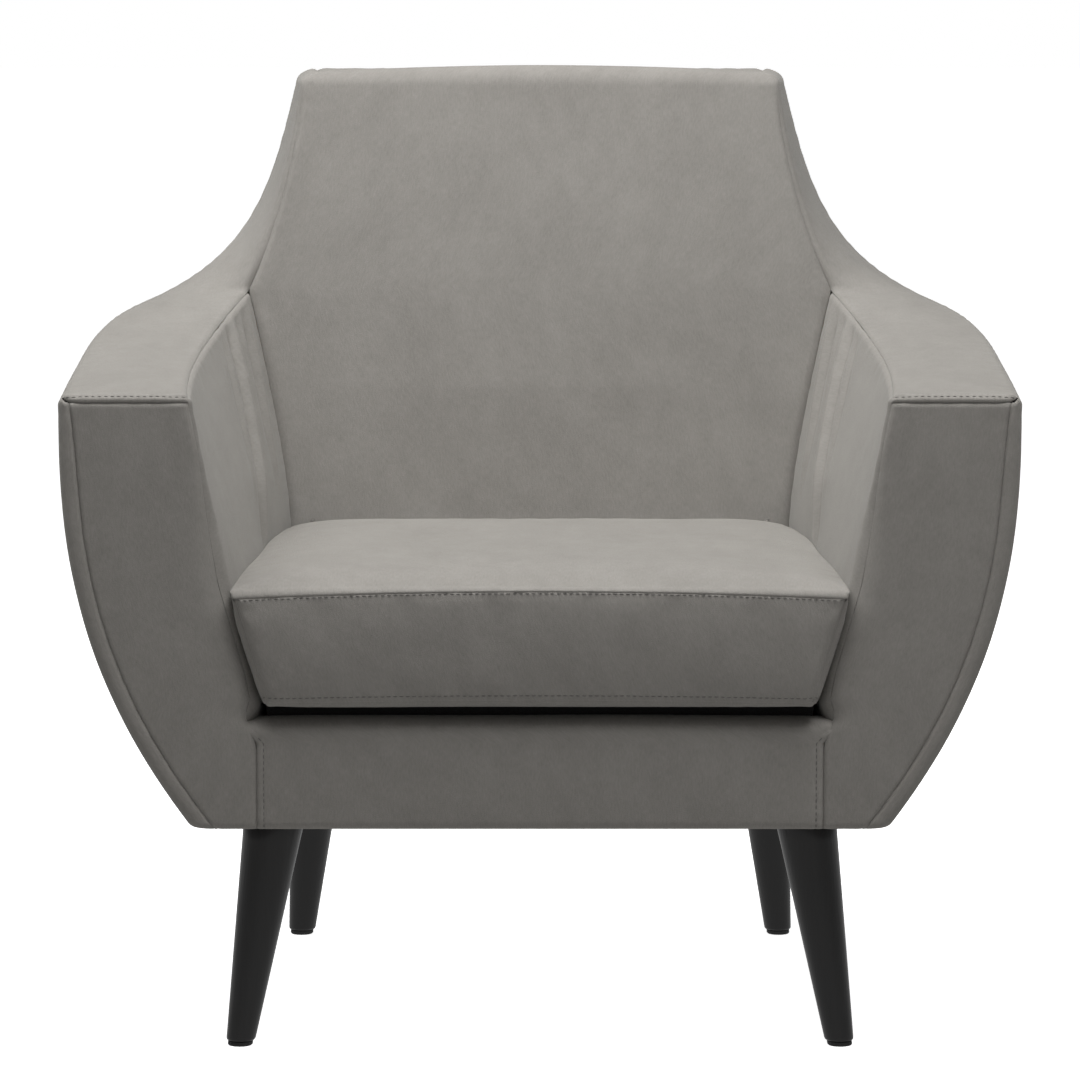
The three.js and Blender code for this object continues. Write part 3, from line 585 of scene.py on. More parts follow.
def both_sides(name, panel, fill, stitch_rows=()):
    """A panel and its mirror image on the other arm, each with its topstitching."""
    shown, hidden, cloth = panel
    normal = surface_normal(shown)
    for side, turn in TURNS:
        piece = closed_panel(f"{name}_velour_{side}", turn(shown), turn(hidden), cloth)
        made(piece, velour, "velour", fill=fill, nodes=[f"{name}_{side}"])
        for number, rows in enumerate(stitch_rows, 1):
            stitches(f"{name}_stitch_{number}_{side}", turn(shown[rows]), turn(normal[rows]))


ARM_PAD_FOOT = 0.303
SOFT_FRONT = 0.450            # height below which the arm's front edge is a soft round
TIGHT_FRONT = 0.560           # and above which it is a tight one
ARM_SWELL = 0.009             # of the arm's padding beside the cushion
SWELL_REACH = 0.12            # back from the front
ARM_PRESS = 0.006             # of the cushion into the arm
PRESS_DEPTH = 0.34            # depth at which it presses most
PRESS_REACH = 0.09            # and how far to both sides
arm_up = spaced(0.3, near_start=False)[:, None]
arm_along = spaced(0.56)[None]
edge_depth = arm_along * BACK_SEAT_DEPTH
for _ in range(20):
    edge_depth = arm_along * back_face(inner_top(edge_depth))
arm_z = ARM_PAD_FOOT + (inner_top(edge_depth) - ARM_PAD_FOOT) * arm_up
arm_depth = arm_along * back_face(arm_z)


def arm_fill(depth, z):
    """How far the arm's padding swells in beside the cushion, less where the cushion presses it:
    two bell curves along the depth."""
    share = np.clip((0.430 - z) / 0.080, 0, 1) * np.clip((z - 0.306) / 0.020, 0, 1)
    pressed = ARM_PRESS * np.clip((0.490 - z) / 0.050, 0, 1) * bell(depth, PRESS_DEPTH, PRESS_REACH)
    return ARM_SWELL * share * bell(depth, 0, SWELL_REACH) - pressed


def front_round(z):
    """Roll of the arm's inner front edge: tight at the top, opening to a soft round below."""
    soft = np.clip((TIGHT_FRONT - z) / (TIGHT_FRONT - SOFT_FRONT), 0, 1)
    soft = soft * soft * (3 - 2 * soft)
    return 0.008 + 0.016 * soft, 68 - 23 * soft


front_roll, front_tuck = front_round(arm_z[:, 0])
top_depth = arm_depth[-1]
over_arm = (place(outer_half(top_depth, outer_top(top_depth)), top_depth, outer_top(top_depth))
            - place(inner_top_half(top_depth), top_depth, inner_top(top_depth)))
inside_arm, arm_hidden, arm_cloth = upholster(
    place(inner_half(arm_depth, arm_z) - arm_fill(arm_depth, arm_z), arm_depth, arm_z),
    {
        "u1": seam(0.008, over_arm, 60),
        "v0": seam(front_roll, (1, 0, 0), front_tuck),
        "v1": seam(0.010, (-1, 0, 0), 26),
    },
    crown=0.003, spread=0.045, seed=11,
)

# Pulls in the cloth: hollows with a ridge beside each, along straight lines from the band
# forward and down to the seat. Each has its depth at the band, slope, width and hollow.
PULLS = (
    (0.4570, 0.79, 0.011, 0.0060, 0.40), (0.5150, 0.55, 0.008, 0.0046, 0.46),
    (0.4300, 0.86, 0.009, 0.0028, 0.46), (0.4880, 0.66, 0.007, 0.0032, 0.52),
)
pull_depth = np.zeros_like(arm_z)
for at_band, pull_slope, width, deep, low in PULLS:
    wander = 0.0022 * np.sin(arm_z * 46 + at_band * 90)
    off = (arm_depth - at_band + wander + pull_slope * (0.613 - arm_z)) / width
    fade = np.clip((arm_z - low) / 0.09, 0, 1) ** 0.8 * np.clip((0.640 - arm_z) / 0.03, 0, 1)
    pull_depth += deep * fade * (bell(off, 0, 1) - 0.8 * bell(off, 1.6, 1))
inside_arm = inside_arm - surface_normal(inside_arm) * pull_depth[..., None]
both_sides("inside_arm_pad", (inside_arm, arm_hidden, arm_cloth), 0.8)

# ------------------------------------------------------------------------------------------
# Inside back: one piece of velour over foam, sewn to the inside arms and to the bands up the
# wings, and rolled over the top edge to the seam with the outside back.

TOP_ROUND = 0.022             # roll over the top edge
TOP_CORNER = 0.019            # rounding of the top corners, seen from the front
LEAN = math.atan(BACK_LEAN)
ROUND_START = TOP - TOP_ROUND * (1 - math.sin(LEAN))
BACK_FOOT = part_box("inside_back_pad")[0].z
REAR_EDGE = float(rear_at(TOP)) - 0.001


def top_roll(turn):
    """Depth and height over the top edge, for a part of the turn from the lean to the level."""
    angle = LEAN + turn * (math.pi / 2 - LEAN)
    depth = back_face(ROUND_START) + TOP_ROUND * (math.cos(LEAN) - np.cos(angle))
    return depth, ROUND_START + TOP_ROUND * (np.sin(angle) - math.sin(LEAN))


def corner_round(turn):
    return TOP_CORNER * (1 - np.cos(turn * math.pi / 2))


WING_PULLS = ((0.27, 0.15), (0.16, 0.515))     # the curve's two inner points, out and up


def wing(t):
    """Half width and height up the wing's outer edge: a cubic Bezier curve."""
    pulls_out = [WING_TOP + (WING_FOOT_HALF - WING_TOP) * out for out, _ in WING_PULLS]
    pulls_up = [WING_FOOT + (TOP - WING_FOOT) * climb for _, climb in WING_PULLS]
    outs = [WING_FOOT_HALF, *pulls_out, WING_TOP]
    highs = [WING_FOOT, *pulls_up, TOP]
    weights = [(1 - t) ** 3, 3 * t * (1 - t) ** 2, 3 * t * t * (1 - t), t ** 3]
    return sum(w * x for w, x in zip(weights, outs)), sum(w * z for w, z in zip(weights, highs))


wing_samples = np.linspace(0, 1, 400)
wing_end = float(np.interp(ROUND_START, wing(wing_samples)[1], wing_samples))


def band_course(z):
    """Across the band up the wing, from its front edge to its rear edge, for a height."""
    climb = np.clip((z - JUNCTION_HEIGHT) / (ROUND_START - JUNCTION_HEIGHT), 0, 1) * wing_end
    x, edge_z = wing(climb)
    return place(x, outer_depth(x, edge_z), edge_z) - place(back_half(z), back_face(z), z)


rise = BACK_FOOT + (ROUND_START - BACK_FOOT) * spaced(0.57, 0.006, False, False)
roll_turn = np.linspace(0, 1, 12)[1:]
roll_depth, roll_z = top_roll(roll_turn)
flat_part = spaced(0.085, 0.006, False)[1:]
flat_depth = roll_depth[-1] + (REAR_EDGE - roll_depth[-1]) * flat_part
flat_half = float(back_half(ROUND_START)) - TOP_CORNER
back_depths = np.concatenate([back_face(rise), roll_depth, flat_depth])
back_z = np.concatenate([rise, roll_z, np.full_like(flat_depth, TOP)])
back_halves = np.concatenate([
    back_half(rise),
    back_half(ROUND_START) - corner_round(roll_turn),
    flat_half + (WING_TOP - BACK_TOP_HALF) * flat_part,
])
across = (2 * spaced(0.54, 0.007) - 1)[:, None]
back_tuck = np.interp(
    back_z, [JUNCTION_HEIGHT - 0.01, JUNCTION_HEIGHT + 0.02, ROUND_START - 0.03, ROUND_START + 0.01],
    [26, 60, 60, 24])
to_arm = place(inner_half(back_depths - 0.02, back_z), back_depths - 0.02, back_z) - place(
    inner_half(back_depths, back_z), back_depths, back_z)
beside_back = np.where(back_z[:, None] < JUNCTION_HEIGHT, to_arm, band_course(back_z))
beside_back[len(rise) + len(roll_turn):] = (1, 0, -0.2)
inside_back = upholster(
    place(across * back_halves, back_depths, back_z),
    {
        "u0": seam(0.008, mirrored(beside_back), back_tuck),
        "u1": seam(0.008, beside_back, back_tuck),
        "v1": seam(0.009, (0, -0.1, -1), 56),
    },
    crown=0.003 + 0.009 * np.clip((back_z - 0.44) / 0.12, 0, 1), spread=0.11, uneven=0.0009, seed=21,
)
back_piece = closed_panel("inside_back_velour", *inside_back)
made(back_piece, velour, "velour", fill=0.8, nodes=["inside_back_pad"])

# ------------------------------------------------------------------------------------------
# Arm fronts: a flat panel of velour over thin wadding on each front rib, seamed to the band
# above, to the outside cover that wraps round the front edge, and to the apron.

APRON_HALF = 0.256


def wrap_width(z):
    """How far the outside cover shows on the front: less at the top corner."""
    ease = np.clip((z - 0.50) / (ARM_HEIGHT - 0.50), 0, 1)
    return 0.0165 - 0.0075 * ease * ease


def front_edge(z):
    """Half width of the front panel: the shell's outline moved in along its own normal."""
    return outer_half(0, z) - wrap_width(z) * outline_stretch(z)


FRONT_HEAD = ARM_HEIGHT - LIP
front_z = UNDERSIDE + (FRONT_HEAD - UNDERSIDE) * spaced(FRONT_HEAD - UNDERSIDE)[None]
apron_edge = APRON_HALF - 0.008 * np.clip((front_z - PLATFORM) / 0.006, 0, 1)
front_inner = np.maximum(apron_edge, inner_half(0 * front_z, front_z) - arm_fill(0, front_z))
front_x = front_inner + (front_edge(front_z) - front_inner) * spaced(0.12, 0.005)[:, None]
round_roll, round_tuck = front_round(front_z[0])
below_deck = np.clip((PLATFORM + 0.004 - front_z[0]) / 0.014, 0, 1)
front_panel = upholster(
    place(front_x, 0.0, front_z),
    {
        "u0": seam(round_roll * (1 - below_deck) + 0.005 * below_deck,
                   np.stack([-below_deck, 1 - below_deck, 0 * below_deck], axis=-1),
                   round_tuck * (1 - below_deck) + 60 * below_deck),
        "u1": seam(0.004, (1, 0, 0), 52),
        "v0": seam(0.010, (0, 1, 0), 48),
        "v1": seam(0.0045, (0, 0, 1), 60),
    },
    crown=0.003, spread=0.03, uneven=0.0010, seed=31,
)
both_sides("arm_front_panel", front_panel, 0.4)

# ------------------------------------------------------------------------------------------
# Arm-top bands: one strip of velour over thick wadding on each side, level along the arm and
# turning up the side of the back, topstitched beside its front seam.

ARM_RUN = 0.56
ARC = LIP * math.pi / 2
arm_run = spaced(ARM_RUN, 0.006, True, False) * ARM_RUN
climb_part = np.linspace(0, 1, 44)[1:]
turn_part = spaced(0.035, 0.003, False)[1:]
on_arc = np.minimum(arm_run, ARC) / LIP
past_arc = np.clip(arm_run - ARC, 0, None) / (ARM_RUN - ARC)
inner_run = LIP * (1 - np.cos(on_arc)) + (JUNCTION - LIP) * past_arc
outer_run = LIP * (1 - np.cos(on_arc)) + (seam_depth(WING_FOOT) - LIP) * past_arc
arm_inner = place(inner_top_half(inner_run), inner_run, inner_top(inner_run) - lip_height(inner_run))
round_part = np.clip(1 - outer_run / EDGE_ROUND, 0, 1)
outer_x = np.where(
    outer_run < EDGE_ROUND, edge_start(ARM_HEIGHT) + EDGE_ROUND * np.sqrt(1 - round_part ** 2),
    outer_half(outer_run, outer_top(outer_run)))
arm_outer = place(outer_x, outer_run, outer_top(outer_run) - lip_height(outer_run))
climb_z = JUNCTION_HEIGHT + (ROUND_START - JUNCTION_HEIGHT) * climb_part
climb_inner = place(back_half(climb_z), back_face(climb_z), climb_z)
edge_x, edge_z = wing(climb_part * wing_end)
climb_outer = place(edge_x, outer_depth(edge_x, edge_z), edge_z)
turn_depth, turn_z = top_roll(turn_part)
turn_inner = place(back_half(ROUND_START) - corner_round(turn_part), turn_depth, turn_z)
turn_x = edge_x[-1] - corner_round(turn_part)
turn_outer = place(turn_x, outer_depth(turn_x, turn_z), turn_z)
band_inner = np.concatenate([arm_inner, climb_inner, turn_inner])
band_outer = np.concatenate([arm_outer, climb_outer, turn_outer])
band_across = spaced(0.105, 0.004)[:, None, None]
on_arm = len(arm_run)
low_run = inner_top(inner_run) - 0.02
down_arm = place(inner_half(inner_run, low_run), inner_run, low_run - lip_height(inner_run)) - arm_inner
into_back = np.tile([-1.0, 0.0, 0.0], (len(band_inner) - on_arm, 1))
down_side = np.tile([0.0, 0.0, -1.0], (on_arm, 1))
rear_out = band_outer[on_arm:]
low_x, low_z = rear_out[:, 0] - 0.01, rear_out[:, 2] - 0.01
down_rear = place(low_x, outer_depth(low_x, low_z), low_z) - rear_out
band_tuck = np.interp(band_inner[:, 2], [ROUND_START - 0.03, ROUND_START + 0.01], [60, 24])
band_panel = upholster(
    band_inner + (band_outer - band_inner) * band_across,
    {
        "u0": seam(0.008, np.concatenate([down_arm, into_back]), band_tuck),
        "u1": seam(0.010, np.concatenate([down_side, down_rear]), 54),
        "v0": seam(0.0036, (0, 0, -1), 66),
        "v1": seam(0.004, (-1, 0, 0), 20),
    },
    crown=0.004, spread=0.03, uneven=0.0005, stitched=("v0",), seed=41,
)
both_sides("arm_top_band", band_panel, 0.7, [np.s_[4:-4, STITCH_ROW]])

# ------------------------------------------------------------------------------------------
# Outside arm covers: velour over thin wadding, wrapped round the front edge of the rib and
# pulled back to the corner seam, tacked under the rail.

side_z_part = spaced(0.41, 0.008)[None]
side_top_depth = EDGE_ROUND + (seam_depth(WING_FOOT) - EDGE_ROUND) * spaced(0.56, 0.008, False)[:, None]
side_top = outer_top(side_top_depth)
side_z = UNDERSIDE + (side_top - UNDERSIDE) * side_z_part
side_share = (side_top_depth - EDGE_ROUND) / (seam_depth(WING_FOOT) - EDGE_ROUND)
side_depth = EDGE_ROUND + (seam_depth(side_z) - EDGE_ROUND) * side_share
side_points = place(outer_half(side_depth, side_z), side_depth, side_z)
wrap_turn = np.concatenate([np.zeros(9), np.linspace(0, math.pi / 2, 9)[1:-1]])[:, None]
wrap_depth = EDGE_ROUND * (1 - np.cos(wrap_turn))
wrap_head = ARM_HEIGHT - lip_height(wrap_depth)
wrap_z = UNDERSIDE + (wrap_head - UNDERSIDE) * side_z_part
front_share = np.concatenate([np.linspace(0, 1, 9), np.ones(7)])[:, None]
wrap_x = front_edge(wrap_z) + (edge_start(wrap_z) - front_edge(wrap_z)) * front_share
wrap_x = wrap_x + EDGE_ROUND * outline_stretch(wrap_z) * np.sin(wrap_turn)
side_base = np.concatenate([place(wrap_x, wrap_depth, wrap_z), side_points])
corner_x, corner_z = side_points[-1, :, 0] - 0.01, side_points[-1, :, 2]
round_corner = place(corner_x, outer_depth(corner_x, corner_z), corner_z) - side_points[-1]
edge_run = side_base[:, -1, 1] - FRONT
over_side = place(inner_top_half(edge_run), edge_run, inner_top(edge_run)) - side_base[:, -1]
under_side = np.tile([-1.0, 0.0, 0.0], (len(side_base), 1))
round_wrap = np.concatenate([-np.sin(wrap_turn), np.cos(wrap_turn), 0 * wrap_turn], axis=1)
under_side[:len(wrap_turn)] = round_wrap
over_side[:len(wrap_turn)] = round_wrap
over_side[:9] = (0, 0, 1)
side_panel = upholster(
    side_base,
    {
        "u0": seam(0.004, (-1, 0, 0), 52),
        "u1": seam(0.005, round_corner, 55),
        "v0": seam(0.010, under_side, 48),
        "v1": seam(np.interp(np.arange(len(side_base)), [8, 15], [0.0045, 0.010]), over_side, 54),
    },
    uneven=0.0012, seed=51,
)
both_sides("outside_arm_cover", side_panel, 0.3)

# ------------------------------------------------------------------------------------------
# Outside back: one panel of velour over thin wadding, from corner seam to corner seam and up
# to the bands, tacked under the rear rail.

edge_line_x = np.concatenate([climb_outer[:, 0], turn_outer[:, 0]])
edge_line_z = np.concatenate([climb_outer[:, 2], turn_outer[:, 2]])
columns_x = np.concatenate([
    WING_FOOT_HALF - BY_SEAM[:8],
    edge_line_x[4:],
    np.linspace(edge_line_x[-1], 0, 24)[1:],
])
columns_x = np.concatenate([columns_x, -columns_x[-2::-1]])
columns_top = np.interp(
    -np.abs(columns_x), -np.concatenate([[WING_FOOT_HALF], edge_line_x, [0]]),
    np.concatenate([[WING_FOOT], edge_line_z, [TOP]]))
rear_z = UNDERSIDE + (columns_top[:, None] - UNDERSIDE) * spaced(0.6, 0.009)[None]
rear_x = columns_x[:, None] / HALF * half_at(rear_z)
rear_base = place(rear_x, outer_depth(rear_x, rear_z), rear_z)
side_run = seam_depth(rear_z[0]) - 0.01
round_side = place(outer_half(side_run, rear_z[0]), side_run, rear_z[0]) - rear_base[0]
ahead = -np.ones_like(columns_x)
over_band = band_course(columns_top) * np.stack([-np.sign(columns_x), ahead, ahead], axis=-1)
over_edge = np.where(columns_top[:, None] < ROUND_START, over_band, (0, -1, 0))
rear_panel = upholster(
    rear_base,
    {
        "u0": seam(0.005, round_side, 55),
        "u1": seam(0.005, mirrored(round_side), 55),
        "v0": seam(0.010, (0, -1, 0), 48),
        "v1": seam(0.009, over_edge, 56),
    },
    uneven=0.0014, seed=61,
)
rear_piece = closed_panel("outside_back_velour", *rear_panel)
made(rear_piece, velour, "velour", fill=0.3, nodes=["outside_back_cover"])

# ------------------------------------------------------------------------------------------
# Front apron: velour over thin wadding on the seat front rail, folded back over its top.

APRON_ROUND = 0.014
apron_face = spaced(0.09, 0.005, True, False)
fold = np.linspace(0, math.pi / 2, 10)[1:]
deck_run = np.linspace(0, 1, 6)[1:]
apron_z = np.concatenate([
    UNDERSIDE + (PLATFORM - APRON_ROUND - UNDERSIDE) * apron_face,
    PLATFORM - APRON_ROUND * (1 - np.sin(fold)),
    np.full(5, PLATFORM),
])
apron_depth = np.concatenate([
    np.zeros_like(apron_face),
    APRON_ROUND * (1 - np.cos(fold)),
    APRON_ROUND + 0.022 * deck_run,
])
splay = np.clip((apron_z - (PLATFORM - 0.020)) / 0.018, 0, 1)
apron_halves = APRON_HALF + 0.020 * splay * splay * (3 - 2 * splay)
apron_across = (2 * spaced(2 * APRON_HALF, 0.007) - 1)[:, None] * apron_halves
apron_panel = upholster(
    place(apron_across, apron_depth, apron_z),
    {"u0": seam(0.005, (-1, 0, 0), 60), "u1": seam(0.005, (1, 0, 0), 60), "v0": seam(0.010, (0, 1, 0), 48)},
    crown=0.002, spread=0.03, uneven=0.0008, stitched=("u0", "u1"), seed=71,
)
apron = closed_panel("front_apron_velour", *apron_panel)
made(apron, velour, "velour", fill=0.4, nodes=["front_apron_cover"])
apron_normal = surface_normal(apron_panel[0])
face_rows = len(apron_face)
for side, row in (("left", STITCH_ROW), ("right", -1 - STITCH_ROW)):
    sewn = np.s_[row, 3:face_rows]
    stitches(f"apron_stitch_{side}", apron_panel[0][sewn], apron_normal[sewn])

# ------------------------------------------------------------------------------------------
# Deck pad: a slab of grey needled felt laid on the springs, its edges rounded.

SIDES_OF_BOX = ("top", "bottom", "front", "rear", "right", "left")


def lattice(parts):
    """The faces of a box lattice, as grids of indices along its three axes, wound outwards."""
    i, j, k = [np.arange(len(part)) for part in parts]
    across, back, up = i[:, None], j[:, None], k[:, None]
    grids = [
        (across, j[None], k[-1:]), (i[None], back, k[:1]),
        (across, j[:1], k[None]), (i[None], j[-1:], up),
        (i[-1:], back, k[None]), (i[:1], j[None], up),
    ]
    return {side: np.broadcast_arrays(*grid) for side, grid in zip(SIDES_OF_BOX, grids)}


def boxed(name, shape, parts, seams_of, moves=None, **padding):
    """A closed piece over a box lattice: shape() gives its points from three fractions, each
    face is upholstered as a panel, and panels share the points along their edges."""
    numbers, totals, cloths, panels = [], [], [], {}
    counts = [len(part) for part in parts]
    start = 0
    for side, grid in lattice(parts).items():
        fractions = [part[index] for part, index in zip(parts, grid)]
        base = shape(*fractions)
        inner = list(fractions)
        axis = (2, 1, 0)[SIDES_OF_BOX.index(side) // 2]
        inner[axis] = inner[axis] + np.where(inner[axis] > 0.5, -0.006, 0.006)
        onward = shape(*inner) - base
        fits = {}
        for edge, (roll, tuck) in seams_of(side).items():
            fits[edge] = seam(roll, edge_of(onward, edge), tuck)
        shown, _, cloth = upholster(base, fits, **padding)
        if moves is not None:
            shown = shown + moves(side, fractions)
        if side in ("bottom", "rear", "left"):
            cloth = cloth[..., ::-1]
        numbers.append(np.ravel_multi_index(grid, counts).ravel())
        totals.append(shown.reshape(-1, 3))
        faces = grid_faces(*base.shape[:2], start)
        cloths.append(cloth.reshape(-1, 2)[faces - start])
        panels[side] = (shown, faces)
        start += len(totals[-1])
    used, shared = np.unique(np.concatenate(numbers), return_inverse=True)
    points = np.zeros((len(used), 3))
    np.add.at(points, shared, np.concatenate(totals))
    points /= np.bincount(shared)[:, None]
    faces = shared[np.concatenate([panel[1] for panel in panels.values()])]
    piece = mesh_piece(name, points, faces, np.concatenate(cloths))
    return piece, {side: panel[0] for side, panel in panels.items()}


felt_finish = Finish("needled_felt", {"Specular IOR Level": 0.1, "Sheen Weight": 0.2})
felt_place = felt_finish.place()
felt_hair = felt_finish.noise(felt_place, (900.0, 900.0, 900.0), 3.0, 0.7)
felt_fleck = felt_finish.noise(felt_place, (160.0, 160.0, 160.0), 2.0)
felt = felt_finish.finished(
    felt_hair, 0.0012, Roughness=felt_hair * 0.1 + 0.85,
    Base_Color=felt_finish.mix(
        felt_hair * 0.6 + felt_fleck * 0.4, (0.010, 0.010, 0.010, 1), (0.032, 0.031, 0.030, 1)),
)

DECK_FOOT, DECK_HEAD = [corner.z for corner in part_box("seat_deck_pad")]
DECK_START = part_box("seat_deck_pad")[0].y - FRONT


def deck(across, back, up):
    """Between the arms, from behind the front rail to the inside back."""
    z = DECK_FOOT + (DECK_HEAD - DECK_FOOT) * up
    depth = DECK_START + (back_face(z) - 0.003 - DECK_START) * back
    half = inner_half(np.clip(depth, 0, None), z) - 0.002 - 0.010 * bell(depth, 0, SWELL_REACH)
    return place((2 * across - 1) * half, depth, z)


deck_piece, _ = boxed(
    "seat_deck_felt", deck,
    [spaced(0.55, 0.012), spaced(0.43, 0.012), np.linspace(0, 1, 9)],
    lambda side: {edge: (0.004, 45) for edge in EDGES} if side in ("top", "bottom") else {},
    uneven=0.0004, spread=0.03, seed=81,
)
made(deck_piece, felt, "deck_felt", fill=0.5, nodes=["seat_deck_pad"])

# ------------------------------------------------------------------------------------------
# Seat cushion: a loose cushion of velour over foam, a top, an underside and a boxing sewn
# between them, topstitched above and below, swollen by the foam and held in by its seams.

CUSHION_FOOT, CUSHION_HEAD = [corner.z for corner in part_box("seat_cushion_cover")]
CUSHION_CORNER = 0.066        # rounding of its rear corners, seen from above
CUSHION_GAP = 0.012           # clear of the inside back
CUSHION_SWELL = 0.012         # as far as the foam may push the cloth
CUSHION_LIP = 0.007           # rounding of the top over the front, down to the front seam
CUSHION_AHEAD = 0.012         # in front of the arm fronts, at its foot
CUSHION_CLEAR = 0.003         # from the arms, at the top
CUSHION_TAPER = 0.012         # narrower at the foot of the front
CUSHION_WIDE, CUSHION_LONG, CUSHION_SIDE = 0.55, 0.49, 0.105


def cushion(across, back, up):
    """Set back from the arms on all sides, its rear corners rounded as a square is squeezed into
    a circle, its seams arched to the middle and its underside turned up to the front seam."""
    arc = CUSHION_LIP * math.pi / 2
    run = back * CUSHION_LONG
    curled = CUSHION_LIP * (1 - np.cos(np.minimum(run, arc) / CUSHION_LIP))
    share = (curled + (1 - CUSHION_LIP / CUSHION_LONG) * np.clip(run - arc, 0, None)
             / (1 - arc / CUSHION_LONG)) / CUSHION_LONG
    short = np.maximum(CUSHION_LIP - curled, 0)
    drop = CUSHION_LIP - np.sqrt(np.maximum(CUSHION_LIP ** 2 - short ** 2, 0))
    z = CUSHION_FOOT + (CUSHION_HEAD - drop - CUSHION_FOOT) * up
    front = -CUSHION_AHEAD - 0.003 * up
    rear = back_face(z) - CUSHION_GAP
    depth = front + (rear - front) * share
    half = inner_half(np.clip(depth, 0, None), z) - CUSHION_CLEAR - CUSHION_TAPER * (1 - up) * (1 - back)
    half = half + 0.005 * bell(depth, PRESS_DEPTH, PRESS_REACH)
    side = (2 * across - 1) * half
    a = np.clip((np.abs(side) - half + CUSHION_CORNER) / CUSHION_CORNER, 0, 1)
    b = np.clip((depth - rear + CUSHION_CORNER) / CUSHION_CORNER, 0, 1)
    x = np.minimum(np.abs(side), half - CUSHION_CORNER) + CUSHION_CORNER * a * np.sqrt(1 - b * b / 2)
    round_depth = np.minimum(depth, rear - CUSHION_CORNER) + CUSHION_CORNER * b * np.sqrt(1 - a * a / 2)
    depth = np.where(b > 0, round_depth, depth)
    x = np.where(b > 0, x, np.abs(side)) * np.sign(side)
    arch = 1 - (2 * across - 1) ** 2
    low_corner = (1 - arch) * np.clip(1 - back / 0.35, 0, 1) ** 2
    turned_up = 0.0068 * (0.6 + 0.4 * arch) * bell(back, 0, 0.035)
    return place(x, depth, z + up * (0.003 - 0.007 * low_corner) + (1 - up) * turned_up)


def swollen(parts):
    """Blows the cushion's cover up over its foam by cloth simulation, its seams, underside and
    zip side held, and gives the move of each point of each face."""
    faces = lattice(parts)
    counts = [len(part) for part in parts]
    grid = [np.concatenate([face[axis].ravel() for face in faces.values()]) for axis in range(3)]
    used, shared = np.unique(np.ravel_multi_index(grid, counts), return_inverse=True)
    where = np.unravel_index(used, counts)
    fractions = [part[index] for part, index in zip(parts, where)]
    rest = cushion(*fractions)
    quads, start = [], 0
    for face in faces.values():
        quads.append(grid_faces(*face[0].shape, start))
        start += face[0].size
    across, back, up = fractions
    held = (up == 0) | (back == 1) | ((up == 1) & ((across == 0) | (across == 1) | (back == 0)))
    piece = mesh_piece("cushion_swelling", rest, shared[np.concatenate(quads)])
    group = piece.vertex_groups.new(name="held")
    group.add(np.flatnonzero(held).tolist(), 1.0, "REPLACE")
    cloth = piece.modifiers.new("swell", "CLOTH").settings
    cloth.quality = 6
    cloth.mass = 0.3
    cloth.tension_stiffness = cloth.compression_stiffness = 20
    cloth.shear_stiffness = 8
    cloth.bending_stiffness = 5
    cloth.shrink_min = -0.003
    cloth.use_pressure = True
    cloth.uniform_pressure_force = 4
    cloth.vertex_group_mass = "held"
    cloth.effector_weights.gravity = 0
    for step in range(1, 21):
        bpy.context.scene.frame_set(step)
    graph = bpy.context.evaluated_depsgraph_get()
    moved = np.empty(len(rest) * 3)
    piece.evaluated_get(graph).data.vertices.foreach_get("co", moved)
    moved = moved.reshape(-1, 3)
    bpy.data.objects.remove(piece)
    bpy.context.scene.frame_set(1)
    move = moved - rest
    size = np.linalg.norm(move, axis=-1, keepdims=True)
    cap = np.where(up == 1, CUSHION_SWELL, CUSHION_SWELL / 3)[:, None]
    move *= cap * np.tanh(size / cap) / np.maximum(size, 1e-9)
    by_face = np.split(move[shared], np.cumsum([face[0].size for face in faces.values()])[:-1])
    return {side: part.reshape(*faces[side][0].shape, 3) for side, part in zip(faces, by_face)}


COARSE = [np.linspace(0, 1, 58), np.linspace(0, 1, 52), np.linspace(0, 1, 13)]
swelling = swollen(COARSE)
FACE_AXES = {
    "top": (0, 1), "bottom": (1, 0), "front": (0, 2), "rear": (2, 0), "right": (1, 2), "left": (2, 1),
}


def between(fractions, count):
    """Weights of evenly spaced values at given fractions: the Catmull-Rom cubic."""
    off = np.abs(fractions[:, None] * (count - 1) - np.arange(count))
    near = 1.5 * off ** 3 - 2.5 * off ** 2 + 1
    far = -0.5 * off ** 3 + 2.5 * off ** 2 - 4 * off + 2
    weights = np.where(off < 1, near, np.where(off < 2, far, 0))
    return weights / weights.sum(1, keepdims=True)


def swell(side, fractions):
    """The simulated move, carried over from the even lattice to the close-set one."""
    rows, columns = FACE_AXES[side]
    down = between(fractions[rows][:, 0], len(COARSE[rows]))
    along = between(fractions[columns][0], len(COARSE[columns]))
    return np.einsum("ai,bj,ijk->abk", down, along, swelling[side])


def cushion_seams(side):
    """Sharp sewn edges above and below, soft turns at the front corners."""
    sewn = (0.0042, 60)
    turn = (0.011, 45)
    flat = (0.0024, 38)
    return {
        "top": {"u0+v1+u1": sewn, "v0": flat},
        "bottom": {"v0+u1+v1": sewn, "u0": (0.009, 60)},
        "front": {"u0": turn, "u1": turn, "v0": sewn, "v1": flat},
        "rear": {"u0": sewn, "u1": sewn},
        "right": {"u0": turn, "v0": sewn, "v1": sewn},
        "left": {"u0": sewn, "u1": sewn, "v0": turn},
    }[side]


